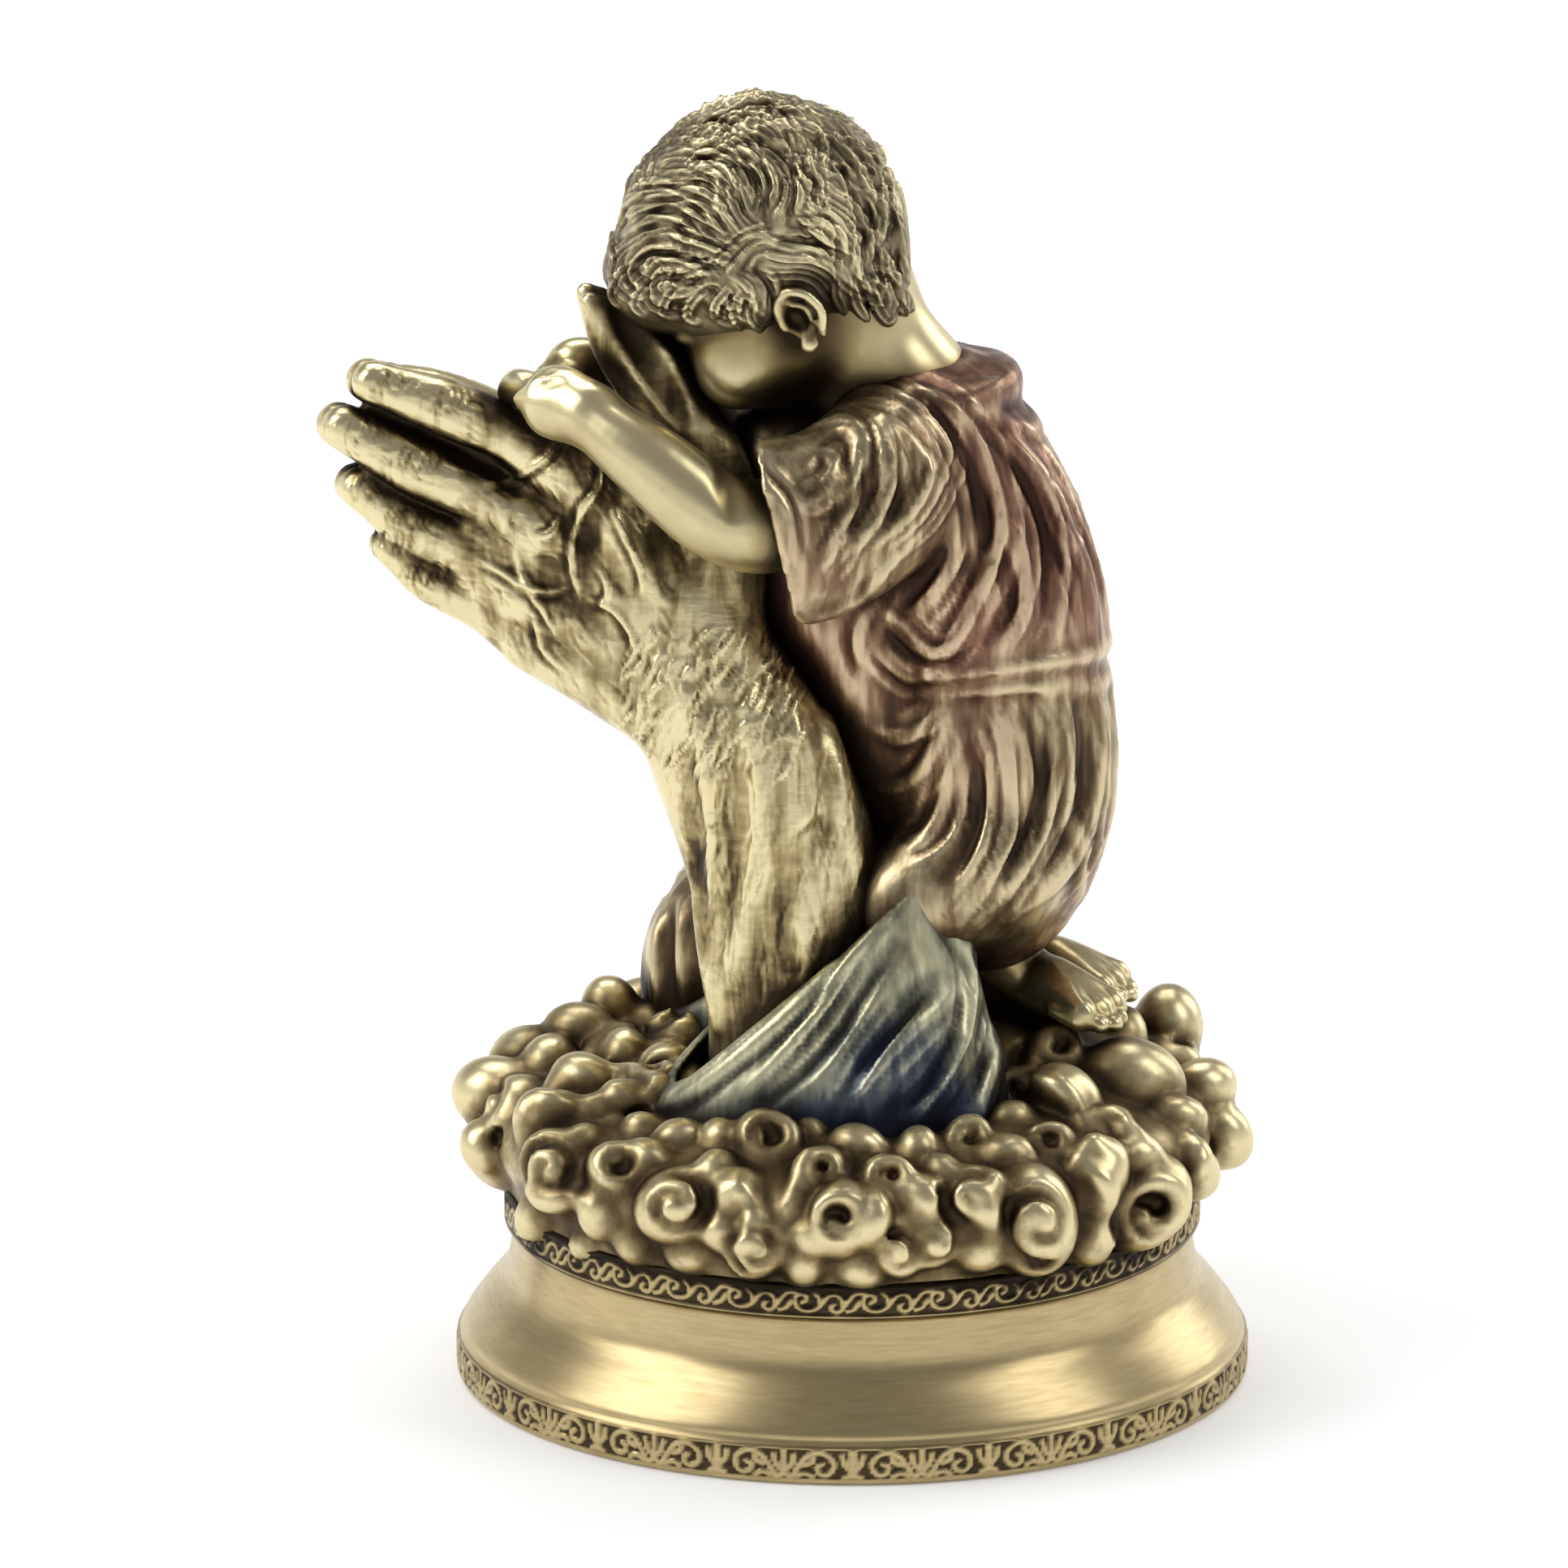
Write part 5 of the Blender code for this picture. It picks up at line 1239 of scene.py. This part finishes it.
def base_surface():
    profile = np.array(base_profile())
    angle = np.linspace(0, 2 * math.pi, COLUMNS, endpoint=False)[:, None] - math.pi / 2
    radius, height = profile[:, 0][None, :], profile[:, 1][None, :]
    band = BASE_HEIGHT - TOP_BAND_HEIGHT
    in_lower = (height > 0.6) * (height < FOOT_BAND_HEIGHT - 0.2)
    in_upper = (height > band + 0.1) * (height < BASE_HEIGHT - 0.15)
    span = 2 * math.pi * BASE_RADIUS / LOWER_CELLS
    along = np.mod(angle * BASE_RADIUS + span / 2, span) - span / 2
    lower = chased(np.abs(along), height - 0.75, PALMETTE, 0.52)
    lower = np.maximum(lower, bead(height, 0.9, 0.35))
    lower = np.maximum(lower, bead(height, FOOT_BAND_HEIGHT - 0.55, 0.35)) * in_lower
    span = 2 * math.pi * TOP_BAND_RADIUS / TOP_CELLS
    along = np.mod(angle * TOP_BAND_RADIUS, span)
    upper = np.maximum(chased(along, height - band - 0.5, SCROLL, 0.45),
                       chased(along + span, height - band - 0.5, SCROLL, 0.45))
    upper = np.maximum(upper, bead(height, band + 0.5, 0.32))
    upper = np.maximum(upper, bead(height, BASE_HEIGHT - 0.6, 0.32))
    raised = lower + upper * in_upper
    in_band = in_lower * 1 + in_upper * 1
    reach = radius + BAND_RISE * raised - BAND_GROUND * in_band
    points = np.stack((reach * np.cos(angle), reach * np.sin(angle), np.broadcast_to(height, reach.shape)), -1)
    rows = len(profile)
    index = np.arange(COLUMNS * rows).reshape(COLUMNS, rows)
    following = np.roll(index, -1, 0)
    quads = np.stack((index[:, :-1], following[:, :-1], following[:, 1:], index[:, 1:]), -1).reshape(-1, 4)
    caps = (index[::-1, 0].tolist(), index[:, -1].tolist())
    surface = Surface(points.reshape(-1, 3), quads)
    surface.worn = np.where(in_band > 0, 0.02 + SATIN_WEAR * raised, SATIN_WEAR).ravel()
    return surface, caps


# Finishes

class Nodes:
    """A node tree, with short ways to add linked nodes to it."""

    def __init__(self, tree):
        self.tree = tree

    def node(self, kind, links=(), **settings):
        made = self.tree.nodes.new(kind)
        for key, value in settings.items():
            setattr(made, key, value)
        for slot, value in dict(links).items():
            if isinstance(value, bpy.types.NodeSocket):
                self.tree.links.new(value, made.inputs[slot])
            else:
                made.inputs[slot].default_value = value
        return made

    def math(self, operation, *values, **settings):
        return self.node("ShaderNodeMath", enumerate(values), operation=operation, **settings).outputs[0]

    def mix(self, kind, slots, share, first, second):
        """Mixes two values or colours. Each kind of mix has input sockets of its own."""
        made = self.node("ShaderNodeMix", data_type=kind)
        for slot, value in zip(slots, (share, first, second)):
            self.tree.links.new(value, made.inputs[slot])
        return made

    def background_rays(self):
        """One for the camera, glossy and transmission rays, which show the white background, else zero."""
        rays = self.node("ShaderNodeLightPath").outputs
        seen = self.math("ADD", rays["Is Camera Ray"], rays["Is Glossy Ray"])
        return self.math("ADD", seen, rays["Is Transmission Ray"], use_clamp=True)

    def sum(self, first, second, share):
        """First plus a share of second less its middle value of one half."""
        return self.math("ADD", first, self.math("MULTIPLY_ADD", second, share, -0.5 * share))

    def noise(self, scale, detail=3.0, stretch=(1, 1, 1), turn=(0, 0, 0), distortion=0.0):
        where = self.node("ShaderNodeTexCoord").outputs["Object"]
        moved = self.node("ShaderNodeMapping", {"Vector": where, "Scale": stretch, "Rotation": turn})
        return self.node("ShaderNodeTexNoise", {"Vector": moved.outputs[0], "Scale": scale, "Detail": detail,
                                                "Distortion": distortion}).outputs["Fac"]

    def streaks(self, turn):
        """Streaks that run upright low down, and turned about the side axis above the height of the wrist."""
        upright = self.noise(STREAK_SCALE, 4.0, STREAK_STRETCH, distortion=0.6)
        if not turn:
            return upright
        leaning = self.noise(STREAK_SCALE, 4.0, STREAK_STRETCH, (0, turn, 0), 0.6)
        where = self.node("ShaderNodeSeparateXYZ", {0: self.node("ShaderNodeTexCoord").outputs["Object"]})
        share = self.node("ShaderNodeMapRange", {"Value": where.outputs["Z"], "From Min": LEAN_FROM,
                                                 "From Max": LEAN_TO})
        return self.mix("FLOAT", (0, 2, 3), share.outputs[0], upright, leaning).outputs[0]

    def pooled(self, value, across, height):
        """Raises a value near a line through the piece from side to side, and lowers it away from there."""
        where = self.node("ShaderNodeTexCoord").outputs["Object"]
        flat = self.node("ShaderNodeVectorMath", {0: where, 1: (1, 0, 1)}, operation="MULTIPLY").outputs[0]
        gap = self.node("ShaderNodeVectorMath", {0: flat, 1: (across, 0, height)}, operation="DISTANCE")
        near = self.node("ShaderNodeMapRange", {"Value": gap.outputs["Value"], "From Min": POOL_CORE,
                                                "From Max": POOL_EDGE, "To Min": 0.75,
                                                "To Max": 0.25}).outputs[0]
        return self.sum(near, value, 1.0)

    def ramp(self, value, stops):
        made = self.node("ShaderNodeValToRGB", {"Fac": value})
        elements = made.color_ramp.elements
        while len(elements) < len(stops):
            elements.new(0.5)
        for element, (place_, colour) in zip(elements, stops):
            element.position = place_
            element.color = (*colour, 1.0)
        return made.outputs["Color"]

    def attribute(self, name):
        return self.node("ShaderNodeAttribute", attribute_name=name).outputs["Fac"]


class Finish(Nodes):
    """A material with its main shader."""

    def __init__(self, name):
        self.material = bpy.data.materials.new(name)
        self.material.use_nodes = True
        super().__init__(self.material.node_tree)
        self.shader = self.tree.nodes["Principled BSDF"]


PATCH_SCALE, GRAIN_SCALE, STREAK_SCALE = 60.0, 700.0, 330.0
STREAK_STRETCH = (1, 1, 0.14)
LEAN_FROM, LEAN_TO = 0.096, 0.118
POOL_CORE, POOL_EDGE = 0.006, 0.026
METALLIC = 0.88
# Lift of the painted shade term out in the open, where nothing closes a place in.
OPEN_LIFT = 0.2
CONTRAST_MIDDLE = 0.6
TINT_EDGE = ((0.42, (0, 0, 0)), (0.58, (1, 1, 1)))


def patina(name, colours, rough, patch, shade=1.35, speckle=0.3, streak=0.0, turn=0.0, lift=0.0, contrast=1.0,
           grain=((1, 1, 1), (0, 0, 0)), grain_depth=0.1, tint=None, tint_scale=45.0, pool=None):
    """Antiqued metal: dark patina in its recesses, with painted shade added where it is closed in, and rubbed
    bright on its ridges, with an optional second tint.

    Patch, streak and speckle say how much broad patches, long streaks and fine grain change the wear. Shade
    is painted shade that darkens what is closed in, and lift is painted light from above that brightens what
    faces up. Rough goes from dark places to bright ones.
    """
    finish = Finish(name)
    grains = finish.noise(GRAIN_SCALE, 3.0, *grain)
    level = finish.sum(finish.attribute("worn"), finish.noise(PATCH_SCALE, 4.0), patch)
    level = finish.sum(level, grains, speckle)
    if streak:
        level = finish.sum(level, finish.streaks(turn), streak)
    # Painted shade: the colour level drops where the piece is closed in, in corners and between parts where
    # shade falls.
    deep = finish.math("MULTIPLY_ADD", finish.attribute("painted_shade"), -shade, OPEN_LIFT)
    level = finish.math("ADD", level, deep)
    # Painted light from above: faces that point up are made lighter in colour.
    if lift:
        normal = finish.node("ShaderNodeNewGeometry").outputs["Normal"]
        upward = finish.node("ShaderNodeSeparateXYZ", {0: normal})
        level = finish.math("MULTIPLY_ADD", upward.outputs["Z"], lift, level)
    if contrast != 1.0:
        level = finish.math("MULTIPLY_ADD", level, contrast, CONTRAST_MIDDLE * (1 - contrast))
    colour = finish.ramp(level, colours)
    if tint is not None:
        mask = finish.noise(tint_scale, 2.0, (1, 1, 0.6))
        if pool:
            mask = finish.pooled(mask, *pool)
        mask = finish.ramp(mask, TINT_EDGE)
        colour = finish.mix("RGBA", (0, 6, 7), mask, colour, finish.ramp(level, tint)).outputs[2]
    finish.tree.links.new(colour, finish.shader.inputs["Base Color"])
    rougher = finish.node("ShaderNodeMapRange", {"Value": level, "From Min": 0.1, "From Max": 0.9,
                                                 "To Min": rough[0], "To Max": rough[1]})
    finish.tree.links.new(rougher.outputs[0], finish.shader.inputs["Roughness"])
    finish.shader.inputs["Metallic"].default_value = METALLIC
    bump = finish.node("ShaderNodeBump", {"Strength": 0.6, "Distance": grain_depth * MM, "Height": grains})
    finish.tree.links.new(bump.outputs[0], finish.shader.inputs["Normal"])
    return finish.material


BRONZE = ((0.05, (0.040, 0.027, 0.013)), (0.32, (0.125, 0.090, 0.041)), (0.58, (0.38, 0.30, 0.142)),
          (0.88, (0.78, 0.68, 0.40)))
BASE_BRONZE = ((0.08, (0.020, 0.014, 0.007)), (0.34, (0.085, 0.062, 0.030)), (0.6, (0.42, 0.32, 0.155)),
               (0.95, (0.70, 0.57, 0.31)))
DARK_BRONZE = ((0.0, (0.045, 0.029, 0.014)), (0.28, (0.125, 0.086, 0.040)), (0.58, (0.31, 0.238, 0.118)),
               (0.88, (0.76, 0.65, 0.38)))
HAIR_BRONZE = ((0.12, (0.052, 0.039, 0.024)), (0.40, (0.106, 0.081, 0.048)), (0.66, (0.23, 0.187, 0.108)),
               (0.95, (0.76, 0.66, 0.40)))
COPPER = ((0.08, (0.045, 0.021, 0.014)), (0.40, (0.110, 0.050, 0.033)), (0.68, (0.25, 0.136, 0.086)),
          (1.0, (0.60, 0.44, 0.295)))
ROBE_BRONZE = ((0.08, (0.040, 0.026, 0.015)), (0.40, (0.098, 0.066, 0.036)), (0.67, (0.235, 0.170, 0.090)),
               (0.98, (0.64, 0.53, 0.325)))
NAVY = ((0.08, (0.012, 0.014, 0.027)), (0.38, (0.026, 0.033, 0.058)), (0.66, (0.085, 0.100, 0.110)),
        (0.98, (0.40, 0.40, 0.32)))
SEA_BRONZE = ((0.08, (0.032, 0.029, 0.023)), (0.36, (0.088, 0.088, 0.066)), (0.64, (0.26, 0.258, 0.175)),
              (0.98, (0.62, 0.58, 0.38)))

# The skin finish paints light from above onto faces that point up, through its lift of 0.2.
skin_bronze = patina("skin bronze", BRONZE, (0.46, 0.27), 0.3, 1.1, speckle=0.05, lift=0.2, contrast=1.15,
                     grain_depth=0.008)
hand_bronze = patina("hand bronze", BRONZE, (0.46, 0.26), 0.8, 0.9, streak=0.9, turn=math.radians(57.0),
                     contrast=1.4, grain=((0.25, 1, 1), (0, -HAND_TILT, 0)), grain_depth=0.16)
cloud_bronze = patina("cloud bronze", DARK_BRONZE, (0.5, 0.31), 1.1, 0.95, grain_depth=0.05)
foot_bronze = patina("foot bronze", BRONZE, (0.4, 0.24), 0.3, 0.4, grain_depth=0.008)
hair_bronze = patina("hair bronze", HAIR_BRONZE, (0.5, 0.3), 0.9, 1.0, contrast=0.9, grain_depth=0.06)
robe_copper = patina("robe copper", ROBE_BRONZE, (0.5, 0.28), 0.9, 0.95, streak=0.8, contrast=1.2,
                     grain=((1, 1, 0.2), (0, 0, 0)), grain_depth=0.12, tint=COPPER, tint_scale=30.0)
drape_blue = patina("drape blue", SEA_BRONZE, (0.55, 0.34), 0.7, 1.0, streak=0.9,
                    grain=((1, 1, 0.3), (0, 0.7, 0)), grain_depth=0.12, tint=NAVY, tint_scale=34.0,
                    pool=(0.002, 0.046))
base_bronze = patina("base bronze", BASE_BRONZE, (0.42, 0.27), 0.15, grain=((0.3, 0.3, 3.0), (0, 0, 0)),
                     grain_depth=0.008)


# The pieces, each with the step of its grid in millimetres

WHOLE_STEP = 1.4
CLOUD_STEP, DRAPE_STEP, ROBE_STEP = 0.78, 0.74, 0.74
NEAR_HAND_STEP, FAR_HAND_STEP = 0.51, 0.62
HEAD_STEP, HAIR_STEP, ARM_STEP, FOOT_STEP = 0.56, 0.34, 0.52, 0.42
CREASE_PUSHES = {"drape": (-20, -9, 9, 20), "robe": (-22, -10, 10, 22)}
CREASE_HEIGHT = 0.3

whole = whole_figure(WHOLE_STEP)


def sculpted(name, clay, finish, lines=(), smoothing=2):
    surface = Surface(*clay.skin())
    surface.points = surface.spread(surface.points, smoothing)
    if lines:
        surface.raise_lines(lines)
    place(name, surface, finish, whole)
    print(name, len(surface.quads) * 2, "triangles")


cloud_clay = Clay((-64, -64, BASE_HEIGHT - 2.5), (64, 64, BASE_HEIGHT + 34), CLOUD_STEP)
cloud(cloud_clay)
sculpted("cloud", cloud_clay, cloud_bronze)
for side, label, step in ((-1, "near_hand", NEAR_HAND_STEP), (1, "far_hand", FAR_HAND_STEP)):
    hand_clay = finished_hand(side, step)
    sculpted(label, hand_clay, hand_bronze, hand_lines(hand_clay))
drape_clay = drape(DRAPE_STEP)
creases = cloth_lines(drape_clay, DRAPE_FOLDS + DRAPE_GROOVES, CREASE_PUSHES["drape"], 1.1, CREASE_HEIGHT)
sculpted("drape", drape_clay, drape_blue, creases)
robe_clay = robe(ROBE_STEP)
creases = cloth_lines(robe_clay, ROBE_FOLDS + SLEEVE_FOLDS + ROBE_GROOVES, CREASE_PUSHES["robe"], 1.0,
                      CREASE_HEIGHT)
sculpted("robe", robe_clay, robe_copper, creases)
sculpted("head", bare_head(HEAD_STEP), skin_bronze, smoothing=2)
hair_clay = hair(HAIR_STEP)
sculpted("hair", hair_clay, hair_bronze, strands(hair_clay))
sculpted("child_arms", limbs(ARM_STEP), skin_bronze, smoothing=7)
sculpted("feet", feet(FOOT_STEP), foot_bronze, smoothing=3)
turned, caps = base_surface()
place("base", turned, base_bronze, whole, caps)


# Floor, light and camera

LEVEL = math.radians(17.0)
AIM_HEIGHT = 85.04
TARGET = Vector((-9.976, math.sin(LEVEL) * AIM_HEIGHT, math.cos(LEVEL) * AIM_HEIGHT)) * MM
FRAME_WIDTH = 0.22945
CAMERA_REACH = 6.0
SENSOR = 36.0
FLOOR_REACH = 40.0
FLOOR_GLOW = 0.14
CAST_LEVEL = 0.45
LAMP_AIM = Vector((0.0, 0.0, 0.1))
LAMPS = (
    ("left front", (-0.92, -0.22, 0.86), (0.75, 0.9), 6.7),
    ("right front", (0.84, -0.24, 0.92), (0.45, 0.8), 3.0),
    ("overhead", (-0.1, 0.5, 1.2), (0.9, 0.6), 5.0),
    ("back rim", (0.9, 0.7, 0.6), (0.5, 0.8), 3.0),
)


def in_scene(name, data):
    made = bpy.data.objects.new(name, data)
    bpy.context.scene.collection.objects.link(made)
    return made


def floor():
    mesh = bpy.data.meshes.new("floor")
    corners = [(x * FLOOR_REACH, y * FLOOR_REACH, 0) for x, y in ((-1, -1), (1, -1), (1, 1), (-1, 1))]
    mesh.from_pydata(corners, [], [(0, 1, 2, 3)])
    paper = Finish("paper")
    white = paper.ramp(paper.noise(2.0), ((0.3, (0.93, 0.93, 0.93)), (0.7, (0.95, 0.95, 0.95))))
    paper.tree.links.new(white, paper.shader.inputs["Base Color"])
    glow = paper.math("MULTIPLY", paper.background_rays(), FLOOR_GLOW)
    paper.tree.links.new(glow, paper.shader.inputs["Emission Strength"])
    paper.shader.inputs["Emission Color"].default_value = (1, 1, 1, 1)
    paper.shader.inputs["Roughness"].default_value = 0.9
    paper.shader.inputs["Specular IOR Level"].default_value = 0.0
    mesh.materials.append(paper.material)
    in_scene("floor", mesh)


def softbox(name, spot, size, power):
    lamp = bpy.data.lights.new(name, "AREA")
    lamp.shape = "RECTANGLE"
    lamp.size, lamp.size_y = size
    lamp.energy = power
    made = in_scene(name, lamp)
    made.location = spot
    made.rotation_euler = (LAMP_AIM - Vector(spot)).to_track_quat("-Z", "Y").to_euler()


def surroundings():
    """White paper all round at eye level, darker overhead, and a plain lower level for the light it casts."""
    world = bpy.data.worlds.new("surroundings")
    world.use_nodes = True
    bpy.context.scene.world = world
    world.node_tree.nodes.clear()
    sky = Nodes(world.node_tree)
    way = sky.node("ShaderNodeTexCoord").outputs["Generated"]
    up = sky.node("ShaderNodeSeparateXYZ", {0: way})
    fade = sky.ramp(up.outputs["Z"], ((0.05, (1, 1, 1)), (0.45, (0.2, 0.2, 0.2))))
    seen = sky.node("ShaderNodeBackground", {"Color": fade}).outputs[0]
    cast = sky.node("ShaderNodeBackground", {"Color": (1, 1, 1, 1), "Strength": CAST_LEVEL}).outputs[0]
    pick = sky.node("ShaderNodeMixShader", {0: sky.background_rays(), 1: cast, 2: seen})
    sky.node("ShaderNodeOutputWorld", {"Surface": pick.outputs[0]})


def camera():
    lens = bpy.data.cameras.new("camera")
    lens.sensor_width = SENSOR
    lens.lens = SENSOR * CAMERA_REACH / FRAME_WIDTH
    lens.clip_end = 200.0
    made = in_scene("camera", lens)
    look = Vector((0.0, math.cos(LEVEL), -math.sin(LEVEL)))
    made.location = TARGET - look * CAMERA_REACH
    made.rotation_euler = look.to_track_quat("-Z", "Y").to_euler()
    bpy.context.scene.camera = made


floor()
surroundings()
for lamp in LAMPS:
    softbox(*lamp)
camera()
bpy.context.scene.view_settings.view_transform = "Standard"
